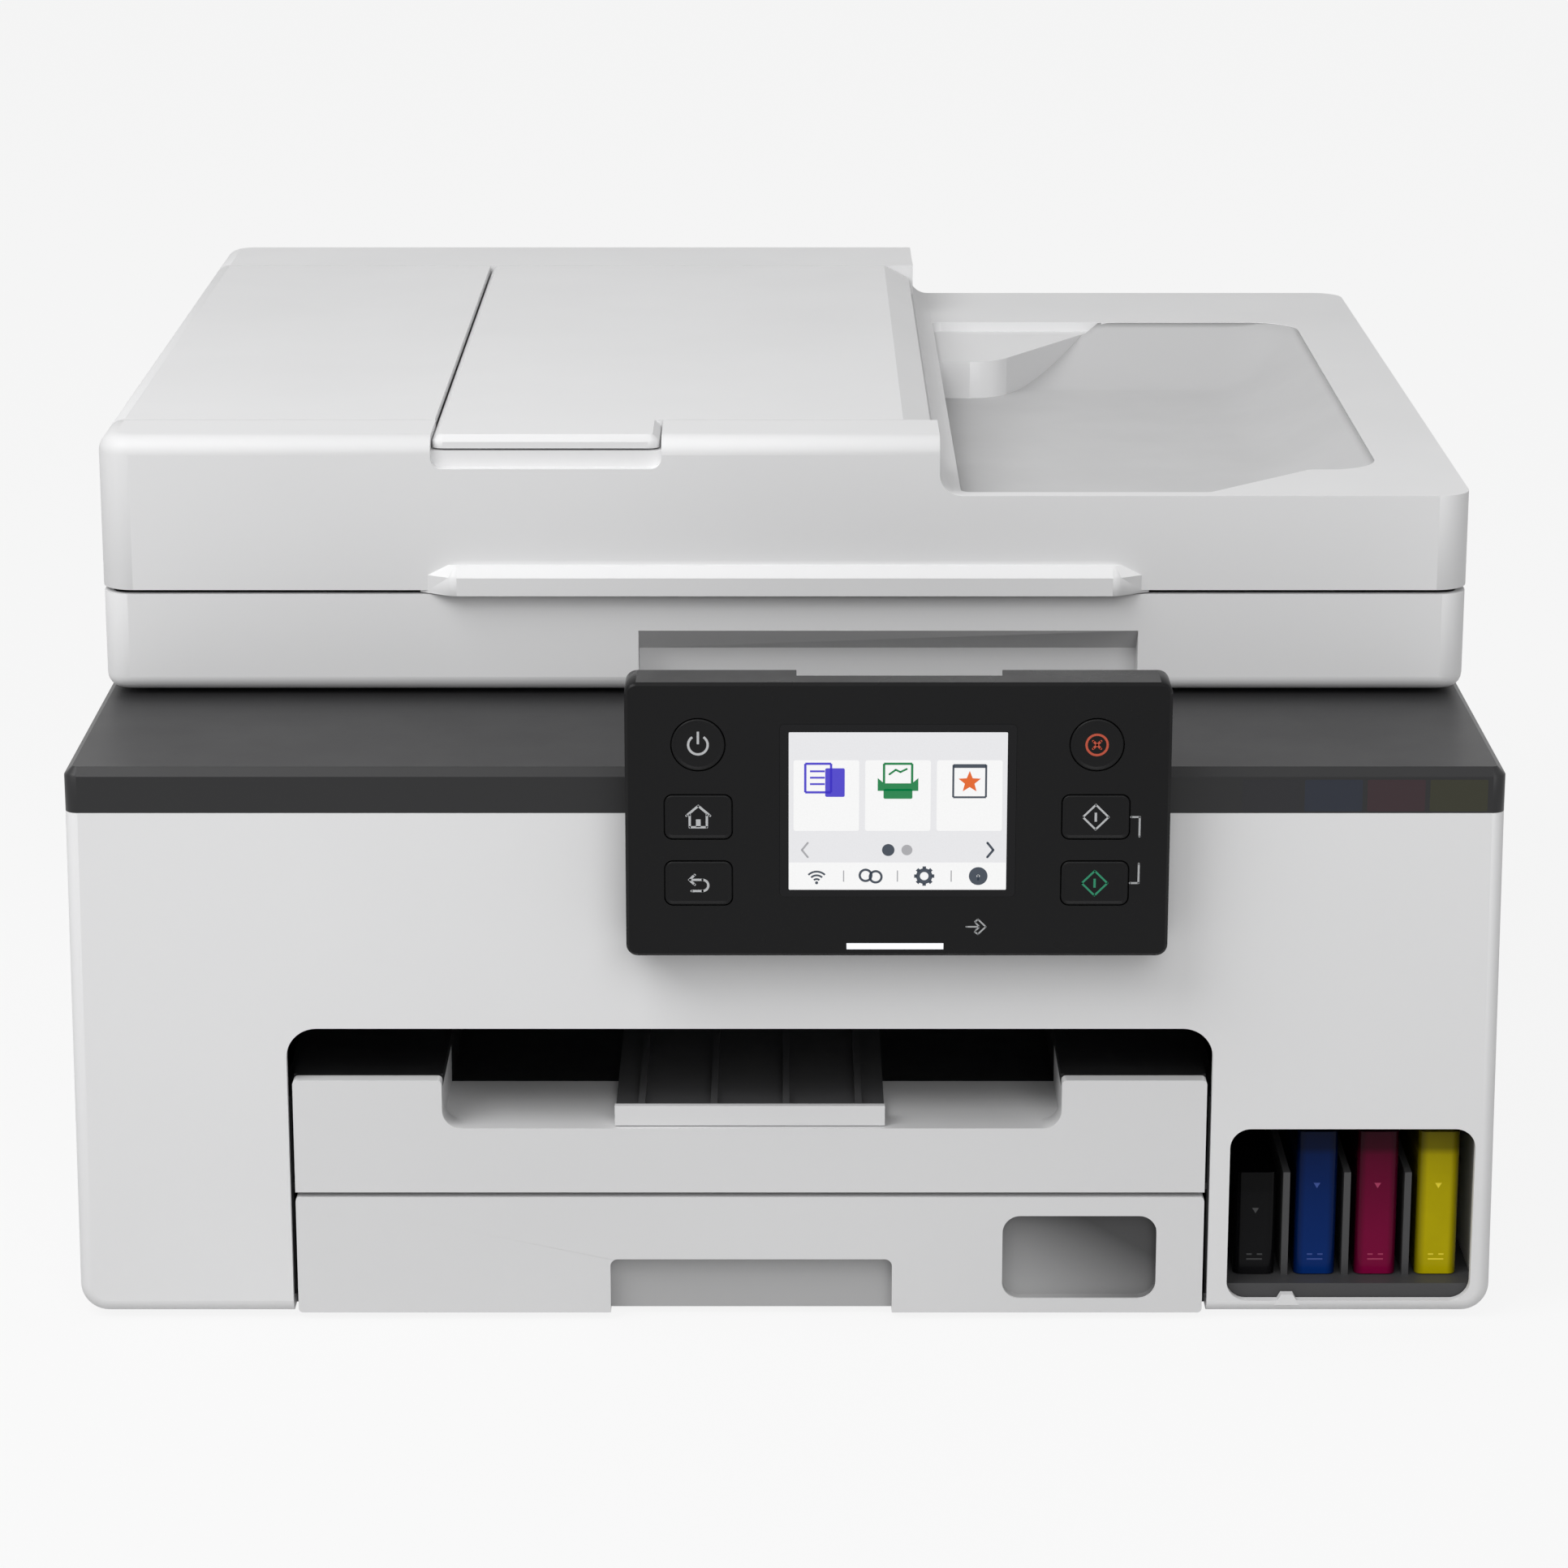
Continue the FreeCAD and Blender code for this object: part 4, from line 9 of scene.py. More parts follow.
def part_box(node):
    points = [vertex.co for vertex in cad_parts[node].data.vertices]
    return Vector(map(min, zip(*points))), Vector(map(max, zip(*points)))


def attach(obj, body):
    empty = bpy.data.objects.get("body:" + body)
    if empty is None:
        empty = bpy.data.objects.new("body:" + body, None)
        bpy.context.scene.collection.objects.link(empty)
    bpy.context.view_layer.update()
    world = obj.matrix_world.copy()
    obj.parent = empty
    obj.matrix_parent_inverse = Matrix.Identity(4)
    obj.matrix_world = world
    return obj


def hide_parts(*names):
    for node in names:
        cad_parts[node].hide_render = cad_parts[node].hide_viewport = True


bl_info = {
    "name": "Ink Tank Printer Looks",
    "version": (1, 0, 0),
    "blender": (4, 5, 0),
    "location": "3D View > Sidebar > Printer",
    "description": "Finishes, keys, display page, ink marks and stage for the ink tank printer",
    "category": "Object",
}

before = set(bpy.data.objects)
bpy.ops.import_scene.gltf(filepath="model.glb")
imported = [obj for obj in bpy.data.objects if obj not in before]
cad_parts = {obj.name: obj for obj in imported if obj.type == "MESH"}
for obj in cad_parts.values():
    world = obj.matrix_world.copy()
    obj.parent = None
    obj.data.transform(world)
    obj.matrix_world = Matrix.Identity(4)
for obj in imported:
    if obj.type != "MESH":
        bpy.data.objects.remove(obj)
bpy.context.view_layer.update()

INK_COLOURS = ("black", "cyan", "magenta", "yellow")
KEYS = ("power", "home", "back", "stop", "start_black", "start_colour")
ROUND_KEYS = ("power", "stop")

# Most of a noise texture's values lie between these two.
NOISE_SPAN = (0.3, 0.7)
# Finishes that more than one piece has.
TRAY_FINISH = {"gloss": (0.40, 0.52), "relief": 0.25}
DECK_FINISH = {"gloss": (0.38, 0.42), "tone": 0.96, "relief": 0.6, "shine": 0.30}
# Grains of the deck and of the inner mouldings, as multiples of the case's.
DECK_GRAIN = 1.4
INNER_GRAIN = 2
# The share of a lit colour that the display shows when it is dark.
UNLIT_SHARE = 0.2
# The backdrop's share that the camera sees above the floor.
SKY_SHARE = 0.92
# Width of the two round lamps.
LAMP_WIDTH = 1.2
# Corners of the free room in the lid's document recess.
RECESS_LOW = (0.0482, -0.1133, 0.1939)
RECESS_HIGH = (0.1656, 0.1488, 0.2086)
# Width of a line in a key's icon.
STROKE = 0.0006
# Colours printed on the deck above the tanks.
DECK_TONES = {"black": (0.018, 0.018, 0.021), "cyan": (0.018, 0.022, 0.034),
              "magenta": (0.034, 0.018, 0.022), "yellow": (0.030, 0.030, 0.017)}


def colour(name, description, default):
    """A colour setting in scene linear values."""
    return FloatVectorProperty(name=name, description=description, subtype="COLOR", size=3, min=0,
                               max=1, default=default)


def length(name, description, default):
    """A length setting in metres."""
    return FloatProperty(name=name, description=description, unit="LENGTH", subtype="DISTANCE",
                         precision=5, default=default)


class ShellSettings(bpy.types.PropertyGroup):
    """Plastics of the case and the trays."""
    white: colour("White", "Moulded white of the case", (0.79, 0.79, 0.795))
    tray_white: colour("Tray white", "Slightly greyer white of the trays", (0.72, 0.72, 0.725))
    # The deck's dark grey also serves as painted shade in the cassette front's hollows.
    deck: colour("Deck", "Dark grey of the deck and the cassette front's hollows", (0.019, 0.019, 0.020))
    # The panel's near black also serves as painted shade on the catch tray's inside in the deep slot.
    panel: colour("Panel", "Near black of the panel and the catch tray's inside", (0.007, 0.007, 0.0075))
    inner: colour("Inner plastic", "Dark grey of the base and the inner mouldings", (0.035, 0.035, 0.038))
    # The bowl's greyer white is painted shade in the document recess; its plastic is the case's white.
    bowl: colour("Document bowl", "Greyer white of the bowl in the document recess", (0.56, 0.56, 0.565))
    bay: colour("Tank bay", "Grey of the bay behind the tanks", (0.045, 0.045, 0.047))
    # The paper stop's grey is painted shade on its plate behind the grip, in the slot.
    paper_stop_shade: colour("Paper stop", "Grey of the paper stop's plate", (0.09, 0.09, 0.093))
    grain: length("Grain", "Width of one grain of the moulded texture", 0.0006)
    edge: length("Edge round", "Round on the edges of the mouldings", 0.0006)


class PanelSettings(bpy.types.PropertyGroup):
    """Keys, icons and display page of the control panel."""
    print_height: length("Print height", "Thickness of the printed icons", 0.00004)
    key_round: length("Key round", "Round on a key's edge", 0.0004)
    dish: length("Dish", "Depth of the dish in a key", 0.00018)
    icon: colour("Icon", "Pale grey of the printed icons", (0.50, 0.51, 0.52))
    stop: colour("Stop", "Red of the stop icon", (0.50, 0.07, 0.03))
    start: colour("Start", "Green of the colour start icon", (0.01, 0.24, 0.12))
    page: colour("Page", "Pale page of the display", (0.86, 0.86, 0.88))
    glow: FloatProperty(name="Glow", description="Strength of the lit display", default=0.75, min=0)


class InkSettings(bpy.types.PropertyGroup):
    """Inks in their clear tanks."""
    black: colour("Black", "Black ink", (0.006, 0.006, 0.007))
    cyan: colour("Cyan", "Cyan ink seen in depth", (0.0005, 0.026, 0.17))
    magenta: colour("Magenta", "Magenta ink seen in depth", (0.22, 0.0005, 0.045))
    yellow: colour("Yellow", "Yellow ink seen in depth", (0.52, 0.43, 0.0))
    mark_height: length("Mark height", "Thickness of the level marks", 0.00005)
    black_level: length("Black level", "Height of the black ink's surface", 0.0385)
    colour_level: length("Colour level", "Height of the other inks' surfaces", 0.0500)


class StageSettings(bpy.types.PropertyGroup):
    """Camera, floor and lamps."""
    camera: FloatVectorProperty(name="Camera", description="Place of the camera", unit="LENGTH",
                                subtype="TRANSLATION", size=3, default=(-0.0002, -1.3744, 0.480))
    pitch: FloatProperty(name="Pitch", description="Angle of the camera below level", subtype="ANGLE",
                         default=math.radians(15.67))
    lens: FloatProperty(name="Lens", description="Focal length in millimetres", default=108.6)
    floor: colour("Floor", "Pale floor", (0.55, 0.55, 0.55))
    shadow: FloatProperty(name="Shadow", description="How much of the shadow shows on the floor",
                          default=0.12, min=0, max=1)
    backdrop: colour("Backdrop", "Pale tone that the camera sees", (1.0, 1.0, 1.0))
    key_power: FloatProperty(name="Key lamp", description="Power of the large lamp above", unit="POWER",
                             default=15.5)
    fill_power: FloatProperty(name="Fill lamp", description="Power of the lamp in front", unit="POWER",
                              default=8.5)
    world: FloatProperty(name="Sky", description="Strength of the soft light all round", default=0.31)


class PrinterSettings(bpy.types.PropertyGroup):
    """All settings of the printer's looks."""
    shell: PointerProperty(type=ShellSettings)
    panel: PointerProperty(type=PanelSettings)
    ink: PointerProperty(type=InkSettings)
    stage: PointerProperty(type=StageSettings)


# Node helpers, and node groups that more than one finish uses.
def new_group(name, inputs, outputs):
    """A shader node group with float inputs and named outputs."""
    group = bpy.data.node_groups.new(name, "ShaderNodeTree")
    for label, default in inputs.items():
        socket = group.interface.new_socket(label, in_out="INPUT", socket_type="NodeSocketFloat")
        socket.default_value = default
    for label in outputs:
        group.interface.new_socket(label, in_out="OUTPUT", socket_type="NodeSocketFloat")
    return group, group.nodes.new("NodeGroupInput"), group.nodes.new("NodeGroupOutput")


def object_place(tree):
    """The object's own coordinates."""
    return tree.nodes.new("ShaderNodeTexCoord").outputs["Object"]


def object_axes(tree):
    """The X, Y and Z of the object's own coordinates."""
    place = tree.nodes.new("ShaderNodeSeparateXYZ")
    tree.links.new(object_place(tree), place.inputs["Vector"])
    return place.outputs["X"], place.outputs["Y"], place.outputs["Z"]


def feed(tree, socket, value):
    """Link an output to a socket, or set the socket to a number."""
    if isinstance(value, bpy.types.NodeSocket):
        tree.links.new(value, socket)
    else:
        socket.default_value = value


def noise(tree, vector, scale, detail=2.0, roughness=0.5):
    """A noise texture read at the given coordinates. Scale is a number or an output."""
    texture = tree.nodes.new("ShaderNodeTexNoise")
    tree.links.new(vector, texture.inputs["Vector"])
    feed(tree, texture.inputs["Scale"], scale)
    texture.inputs["Detail"].default_value = detail
    texture.inputs["Roughness"].default_value = roughness
    return texture.outputs["Fac"]


def maths(tree, operation, *values):
    """One maths node. Values are numbers or outputs."""
    node = tree.nodes.new("ShaderNodeMath")
    node.operation = operation
    for slot, value in zip(node.inputs, values):
        feed(tree, slot, value)
    return node.outputs["Value"]


def spread(tree, value, low, high, start=0.0, end=1.0):
    """Map a range of a value to another range."""
    node = tree.nodes.new("ShaderNodeMapRange")
    tree.links.new(value, node.inputs["Value"])
    for label, number in (("From Min", start), ("From Max", end), ("To Min", low), ("To Max", high)):
        feed(tree, node.inputs[label], number)
    return node.outputs["Result"]


def make_moulded_group():
    """Fine spark-eroded texture of moulded plastic with slow changes of tone and gloss."""
    defaults = {"Grain Scale": 1600, "Tone Low": 0.97, "Gloss Low": 0.4, "Gloss High": 0.5}
    tree, given, result = new_group("moulded_texture", defaults, ("Height", "Tone", "Gloss"))
    place = object_place(tree)
    fine = noise(tree, place, given.outputs["Grain Scale"], 3, 0.6)
    coarse = noise(tree, place, 42, 3, 0.55)
    slow = noise(tree, place, 9, 2, 0.5)
    tree.links.new(fine, result.inputs["Height"])
    tone = spread(tree, slow, given.outputs["Tone Low"], 1.0, *NOISE_SPAN)
    tree.links.new(tone, result.inputs["Tone"])
    low, high = given.outputs["Gloss Low"], given.outputs["Gloss High"]
    tree.links.new(spread(tree, coarse, low, high, *NOISE_SPAN), result.inputs["Gloss"])
    return tree


def make_brushed_group():
    """Fine drawn lines along X, as on plated sheet and ground rods."""
    tree, given, result = new_group("drawn_lines", {"Line Scale": 900}, ("Height", "Gloss"))
    stretch = tree.nodes.new("ShaderNodeMapping")
    stretch.inputs["Scale"].default_value = (0.04, 1, 1)
    tree.links.new(object_place(tree), stretch.inputs["Vector"])
    lines = noise(tree, stretch.outputs["Vector"], given.outputs["Line Scale"], 2, 0.6)
    tree.links.new(lines, result.inputs["Height"])
    tree.links.new(spread(tree, lines, 0.22, 0.45, *NOISE_SPAN), result.inputs["Gloss"])
    return tree


# Node groups that are already made.
GROUPS = {}


def shared_group(name):
    """A node group by its short name, made when it is first asked for."""
    makers = {"moulded": make_moulded_group, "drawn": make_brushed_group}
    if name not in GROUPS:
        GROUPS[name] = makers[name]()
    return GROUPS[name]


def blank_material(name):
    """A new material with its node tree and its surface shader."""
    material = bpy.data.materials.new(name)
    material.use_nodes = True
    shader = material.node_tree.nodes["Principled BSDF"]
    return material, material.node_tree, shader


def tint(tree, base, factor):
    """A colour darkened by a varying factor."""
    mix = tree.nodes.new("ShaderNodeMix")
    mix.data_type = "RGBA"
    mix.blend_type = "MULTIPLY"
    mix.inputs["Factor"].default_value = 1
    mix.inputs["A"].default_value = (*base, 1)
    tree.links.new(factor, mix.inputs["B"])
    return mix.outputs["Result"]


def bump(tree, height, distance, strength, shader):
    """Relief of the given depth in metres, without a change of the mesh."""
    node = tree.nodes.new("ShaderNodeBump")
    node.inputs["Distance"].default_value = distance
    node.inputs["Strength"].default_value = strength
    tree.links.new(height, node.inputs["Height"])
    tree.links.new(node.outputs["Normal"], shader.inputs["Normal"])


def moulded(name, base, grain, gloss=(0.40, 0.50), tone=0.97, relief=0.35, shine=0.5, second=None):
    """Moulded plastic: a fine grain, slow changes of tone and an uneven gloss.

    A second colour and a function that makes its mask give a second tone, used here for painted shade."""
    material, tree, shader = blank_material(name)
    group = tree.nodes.new("ShaderNodeGroup")
    group.node_tree = shared_group("moulded")
    group.inputs["Grain Scale"].default_value = 1 / grain
    group.inputs["Tone Low"].default_value = tone
    group.inputs["Gloss Low"].default_value = gloss[0]
    group.inputs["Gloss High"].default_value = gloss[1]
    shade = tint(tree, base, group.outputs["Tone"])
    if second:
        other, make_mask = second
        both = tree.nodes.new("ShaderNodeMix")
        both.data_type = "RGBA"
        tree.links.new(make_mask(tree), both.inputs["Factor"])
        tree.links.new(shade, both.inputs["A"])
        tree.links.new(tint(tree, other, group.outputs["Tone"]), both.inputs["B"])
        shade = both.outputs["Result"]
    tree.links.new(shade, shader.inputs["Base Color"])
    tree.links.new(group.outputs["Gloss"], shader.inputs["Roughness"])
    bump(tree, group.outputs["Height"], 0.00002, relief, shader)
    shader.inputs["Specular IOR Level"].default_value = shine
    return material


def between(tree, value, low, high):
    """One where a value lies between two limits."""
    return maths(tree, "MULTIPLY", maths(tree, "GREATER_THAN", value, low),
                 maths(tree, "LESS_THAN", value, high))


def cassette_hollow_shade_mask(tree):
    """A darker tone of painted shade in the cassette front's two hollows, deepest at the top right of the
    scoop, standing for hollows deeper than they are made.
    """
    skin, sunk_depth = 0.0007, 0.0055
    scoop_left, scoop_right, scoop_low, scoop_high = 0.0575, 0.0995, 0.0055, 0.0300
    grip_left, grip_right, grip_high = -0.0470, 0.0291, 0.0177
    right_tone, low_tone, high_tone, grip_tone, darkest = 0.38, 0.42, 0.78, 0.40, 0.97
    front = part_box("cassette_front")[0][1] + skin
    x, y, z = object_axes(tree)
    sunk = between(tree, y, front, front + sunk_depth)
    scoop = maths(tree, "MULTIPLY", between(tree, x, scoop_left, scoop_right),
                  between(tree, z, scoop_low, scoop_high))
    across = spread(tree, x, 0.0, right_tone, 0.058, 0.099)
    up = spread(tree, z, low_tone, high_tone, 0.006, 0.0285)
    scoop = maths(tree, "MULTIPLY", scoop, maths(tree, "ADD", across, up))
    grip = maths(tree, "MULTIPLY", between(tree, x, grip_left, grip_right),
                 maths(tree, "LESS_THAN", z, grip_high))
    hollows = maths(tree, "ADD", scoop, maths(tree, "MULTIPLY", grip, grip_tone))
    return maths(tree, "MINIMUM", maths(tree, "MULTIPLY", hollows, sunk), darkest)


def catch_tray_shade_mask(tree):
    """One on the catch tray's inner part, painted near black as shade of the deep slot: along its upper rim
    and well behind its pale front.
    """
    low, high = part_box("output_tray")
    front_depth, rim_height, rim_lip = 0.038, 0.003, 0.0042
    _, y, z = object_axes(tree)
    deep = maths(tree, "GREATER_THAN", y, low[1] + front_depth)
    behind_lip = maths(tree, "GREATER_THAN", y, low[1] + rim_lip)
    on_rim = maths(tree, "GREATER_THAN", z, high[2] - rim_height)
    return maths(tree, "MAXIMUM", deep, maths(tree, "MULTIPLY", behind_lip, on_rim))


def paper_stop_shade_mask(tree):
    """One on the paper stop's plate behind its pale grip, which is painted dark grey as shade in the slot.
    """
    grip_depth = 0.0061
    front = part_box("output_extension")[0][1]
    y = object_axes(tree)[1]
    return maths(tree, "GREATER_THAN", y, front + grip_depth)


def drawn_steel(name, base):
    """Plated steel with fine drawn lines."""
    material, tree, shader = blank_material(name)
    group = tree.nodes.new("ShaderNodeGroup")
    group.node_tree = shared_group("drawn")
    shader.inputs["Metallic"].default_value = 1
    streaks = spread(tree, group.outputs["Height"], 0.85, 1.0)
    tree.links.new(tint(tree, base, streaks), shader.inputs["Base Color"])
    tree.links.new(group.outputs["Gloss"], shader.inputs["Roughness"])
    bump(tree, group.outputs["Height"], 0.00001, 0.2, shader)
    return material


def printed(name, base, glow=0.0):
    """Ink printed on a panel, or lit in the display where it glows, with a faint fleck in its tone."""
    material, tree, shader = blank_material(name)
    fleck = spread(tree, noise(tree, object_place(tree), 2500, 2), 0.94, 1.0)
    unlit = tuple(value * UNLIT_SHARE for value in base) if glow else base
    tree.links.new(tint(tree, unlit, fleck), shader.inputs["Base Color"])
    shader.inputs["Roughness"].default_value = 0.4
    if glow:
        tree.links.new(tint(tree, base, fleck), shader.inputs["Emission Color"])
        shader.inputs["Emission Strength"].default_value = glow
    return material


def circuit_board(name):
    """Green solder resist over traces, with paler tracks."""
    material, tree, shader = blank_material(name)
    turned = tree.nodes.new("ShaderNodeMapping")
    turned.inputs["Rotation"].default_value = (0, math.radians(90), 0)
    tree.links.new(object_place(tree), turned.inputs["Vector"])
    tracks = tree.nodes.new("ShaderNodeTexBrick")
    tree.links.new(turned.outputs["Vector"], tracks.inputs["Vector"])
    pattern = {"Scale": 90, "Mortar Size": 0.03, "Brick Width": 1.4, "Row Height": 0.22}
    for label, number in pattern.items():
        tracks.inputs[label].default_value = number
    tracks.inputs["Color1"].default_value = (0.006, 0.075, 0.028, 1)
    tracks.inputs["Color2"].default_value = (0.008, 0.095, 0.036, 1)
    tracks.inputs["Mortar"].default_value = (0.02, 0.17, 0.07, 1)
    tree.links.new(tracks.outputs["Color"], shader.inputs["Base Color"])
    tree.links.new(spread(tree, tracks.outputs["Fac"], 0.42, 0.3), shader.inputs["Roughness"])
    bump(tree, tracks.outputs["Fac"], 0.00003, 0.4, shader)
    return material


def clear_glass(name):
    """Float glass with a faint green tone and a few wiping marks."""
    material, tree, shader = blank_material(name)
    smear = noise(tree, object_place(tree), 14, 4, 0.6)
    tree.links.new(spread(tree, smear, 0.01, 0.06, 0.4, 0.8), shader.inputs["Roughness"])
    shader.inputs["Base Color"].default_value = (0.86, 0.93, 0.91, 1)
    shader.inputs["Transmission Weight"].default_value = 1
    shader.inputs["IOR"].default_value = 1.5
    return material


def ink_in_tank(name, base, middle, half_width, foot, top, fade):
    """Ink behind a clear wall: darker at the sides as painted shade beside a painted highlight down the
    middle, fading upwards and dim above its surface.
    """
    material, tree, shader = blank_material(name)
    side_shade_tone, side_start, side_end = 0.35, half_width * 0.55, half_width * 0.95
    empty_tone, surface_low, surface_high = 0.45, top - 0.0065, top - 0.0045
    x, _, z = object_axes(tree)
    off = maths(tree, "ABSOLUTE", maths(tree, "SUBTRACT", x, middle))
    # Painted shade at the sides, which leaves a painted highlight down the middle of the tank.
    sides = spread(tree, off, 1.0, side_shade_tone, side_start, side_end)
    depth = spread(tree, z, 1.0, fade, foot, top)
    above = spread(tree, z, 1.0, empty_tone, surface_low, surface_high)
    level = maths(tree, "MULTIPLY", depth, above)
    swirl = spread(tree, noise(tree, object_place(tree), 120, 3), 0.85, 1.0)
    shade = maths(tree, "MULTIPLY", maths(tree, "MULTIPLY", sides, level), swirl)
    tree.links.new(tint(tree, base, shade), shader.inputs["Base Color"])
    tree.links.new(spread(tree, swirl, 0.24, 0.14, 0.85, 1.0), shader.inputs["Roughness"])
    shader.inputs["Specular IOR Level"].default_value = 0.08
    return material


# Mesh tools for the printed marks and the keys, drawn flat and then stood up to face the front.
def disc(bm, x, y, radius, segments=40):
    """A filled circle."""
    bmesh.ops.create_circle(bm, cap_ends=True, segments=segments, radius=radius,
                            matrix=Matrix.Translation((x, y, 0)))


def bar(bm, x0, y0, x1, y1, width):
    """A straight stroke between two points."""
    along = Vector((x1 - x0, y1 - y0, 0))
    turn = Matrix.Rotation(math.atan2(along.y, along.x), 4, "Z")
    size = Matrix.Diagonal((along.length, width, 1, 1))
    place = Matrix.Translation(((x0 + x1) / 2, (y0 + y1) / 2, 0))
    bmesh.ops.create_grid(bm, x_segments=1, y_segments=1, size=0.5, matrix=place @ turn @ size)


def line(bm, points, width):
    """Strokes through several points, with round joints."""
    for first, second in zip(points, points[1:]):
        bar(bm, *first, *second, width)
    for point in points:
        disc(bm, *point, width / 2, 16)


def ring(bm, x, y, radius, width, start=0.0, sweep=360.0):
    """A ring or an arc, turned from one short edge."""
    first = Matrix.Rotation(math.radians(start), 3, "Z")
    ends = [bm.verts.new(first @ Vector((radius + side * width / 2, 0, 0)) + Vector((x, y, 0)))
            for side in (-1, 1)]
    edge = bm.edges.new(ends)
    bmesh.ops.spin(bm, geom=[*ends, edge], cent=(x, y, 0), axis=(0, 0, 1), angle=math.radians(sweep),
                   steps=max(6, round(sweep / 8)), use_merge=sweep == 360)


def shape(bm, points):
    """A filled outline through a few points."""
    bm.faces.new([bm.verts.new((x, y, 0)) for x, y in points])


def rounded(bm, x, y, width, height, radius):
    """A filled rectangle with round corners."""
    place = Matrix.Translation((x, y, 0)) @ Matrix.Diagonal((width, height, 1, 1))
    made = bmesh.ops.create_grid(bm, x_segments=1, y_segments=1, size=0.5, matrix=place)
    bmesh.ops.bevel(bm, geom=made["verts"], offset=radius, offset_type="OFFSET", affect="VERTICES",
                    segments=6, profile=0.5, material=-1)


def new_verts(made):
    """The vertices among what an extrusion made."""
    return [item for item in made["geom"] if isinstance(item, bmesh.types.BMVert)]


def thicken(bm, height):
    """Turn flat faces into closed thin plates."""
    made = bmesh.ops.extrude_face_region(bm, geom=bm.faces[:], use_keep_orig=True)
    bmesh.ops.translate(bm, verts=new_verts(made), vec=(0, 0, height))
    bmesh.ops.recalc_face_normals(bm, faces=bm.faces[:])


def top_face(bm):
    """The highest face, and the largest of those at one height."""
    return max(bm.faces, key=lambda face: (face.calc_center_median().z, face.calc_area()))


def round_top(bm, radius, segments):
    """Round the edges of the top face, and return the face that is then on top."""
    bmesh.ops.bevel(bm, geom=list(top_face(bm).edges), offset=radius, offset_type="OFFSET",
                    affect="EDGES", segments=segments, profile=0.5, material=-1)
    return top_face(bm)


def join(bm, piece):
    """Add a small mesh to a larger one, and free it."""
    mesh = bpy.data.meshes.new("joined")
    piece.to_mesh(mesh)
    piece.free()
    bm.from_mesh(mesh)
    bpy.data.meshes.remove(mesh)


def middle_of(box, axis):
    """The middle of a box along an axis."""
    low, high = box
    return (low[axis] + high[axis]) / 2


def front_middle(box):
    """The middle of a box seen from the front."""
    return middle_of(box, 0), middle_of(box, 2)


def make_object(bm, name, material):
    """Make an object of a mesh and give it its finish."""
    mesh = bpy.data.meshes.new(name)
    bm.to_mesh(mesh)
    bm.free()
    mesh.materials.append(material)
    item = bpy.data.objects.new(name, mesh)
    bpy.context.scene.collection.objects.link(item)
    return item


def finish_piece(bm, name, material, body):
    """Make an object of a mesh and let it move with a body."""
    piece = make_object(bm, name, material)
    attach(piece, body)
    return piece


def stand_up(bm, face):
    """Stand a flat drawing up so that it faces the front at the given depth."""
    place = Matrix.Translation((0, face, 0)) @ Matrix.Rotation(math.radians(90), 4, "X")
    bmesh.ops.transform(bm, verts=bm.verts[:], matrix=place)


def print_mark(name, material, body, face, height, draw, place=(0, 0)):
    """A thin printed mark on a surface that faces the front, drawn about its own place."""
    bm = bmesh.new()
    draw(bm)
    bmesh.ops.translate(bm, verts=bm.verts[:], vec=(*place, 0))
    thicken(bm, height)
    stand_up(bm, face)
    finish_piece(bm, name, material, body)


def give(nodes, material, edge=0.0):
    """Give CAD nodes a finish, and round their edges slightly where a width is given."""
    for name in nodes:
        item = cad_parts[name]
        item.data.materials.clear()
        item.data.materials.append(material)
        if edge:
            weld = item.modifiers.new("weld", "WELD")
            weld.merge_threshold = 0.000001
            round_edges = item.modifiers.new("edge_round", "BEVEL")
            round_edges.width = edge
            round_edges.segments = 2
            round_edges.limit_method = "ANGLE"
            round_edges.angle_limit = math.radians(50)
            round_edges.harden_normals = False
            round_edges.use_clamp_overlap = True


class PRINTER_OT_shell_finish(bpy.types.Operator):
    """Give the case, trays, deck and panel their plastics"""
    bl_idname = "printer.shell_finish"
    bl_label = "Case Finish"

    def execute(self, context):
        look = context.scene.printer_looks.shell
        white = moulded("white_case", look.white, look.grain, gloss=(0.46, 0.54), relief=0.25, shine=0.3)
        give(("main_cover", "rear_cover", "scanner_case", "lid_shell", "feeder_cover", "document_tray"),
             white, look.edge)
        self.finish_trays(look)
        deck = moulded("dark_deck", look.deck, look.grain * DECK_GRAIN, **DECK_FINISH)
        give(("top_deck",), deck, look.edge)
        inner_grain = look.grain * INNER_GRAIN
        base = moulded("dark_base", look.inner, inner_grain, gloss=(0.5, 0.62), tone=0.85, relief=0.5)
        give(("base_pan", "panel_back"), base)
        bay = moulded("bay_grey", look.bay, inner_grain, gloss=(0.5, 0.62), tone=0.9, relief=0.4)
        give(("tank_bay",), bay)
        panel = moulded("panel_black", look.panel, look.grain, gloss=(0.24, 0.34), tone=0.85, relief=0.2,
                        shine=0.14)
        panel_edge_share = 0.7
        give(("panel_case",), panel, look.edge * panel_edge_share)
        return {"FINISHED"}

    def finish_trays(self, look):
        """White trays, each with a second colour of painted shade where its mask is one."""
        trays = {"cassette_front": ("tray_case", look.deck, cassette_hollow_shade_mask),
                 "output_tray": ("catch_tray_case", look.panel, catch_tray_shade_mask),
                 "output_extension": ("paper_stop_case", look.paper_stop_shade, paper_stop_shade_mask)}
        for node, (name, other, make_mask) in trays.items():
            finish = moulded(name, look.tray_white, look.grain, second=(other, make_mask), **TRAY_FINISH)
            give((node,), finish, look.edge)


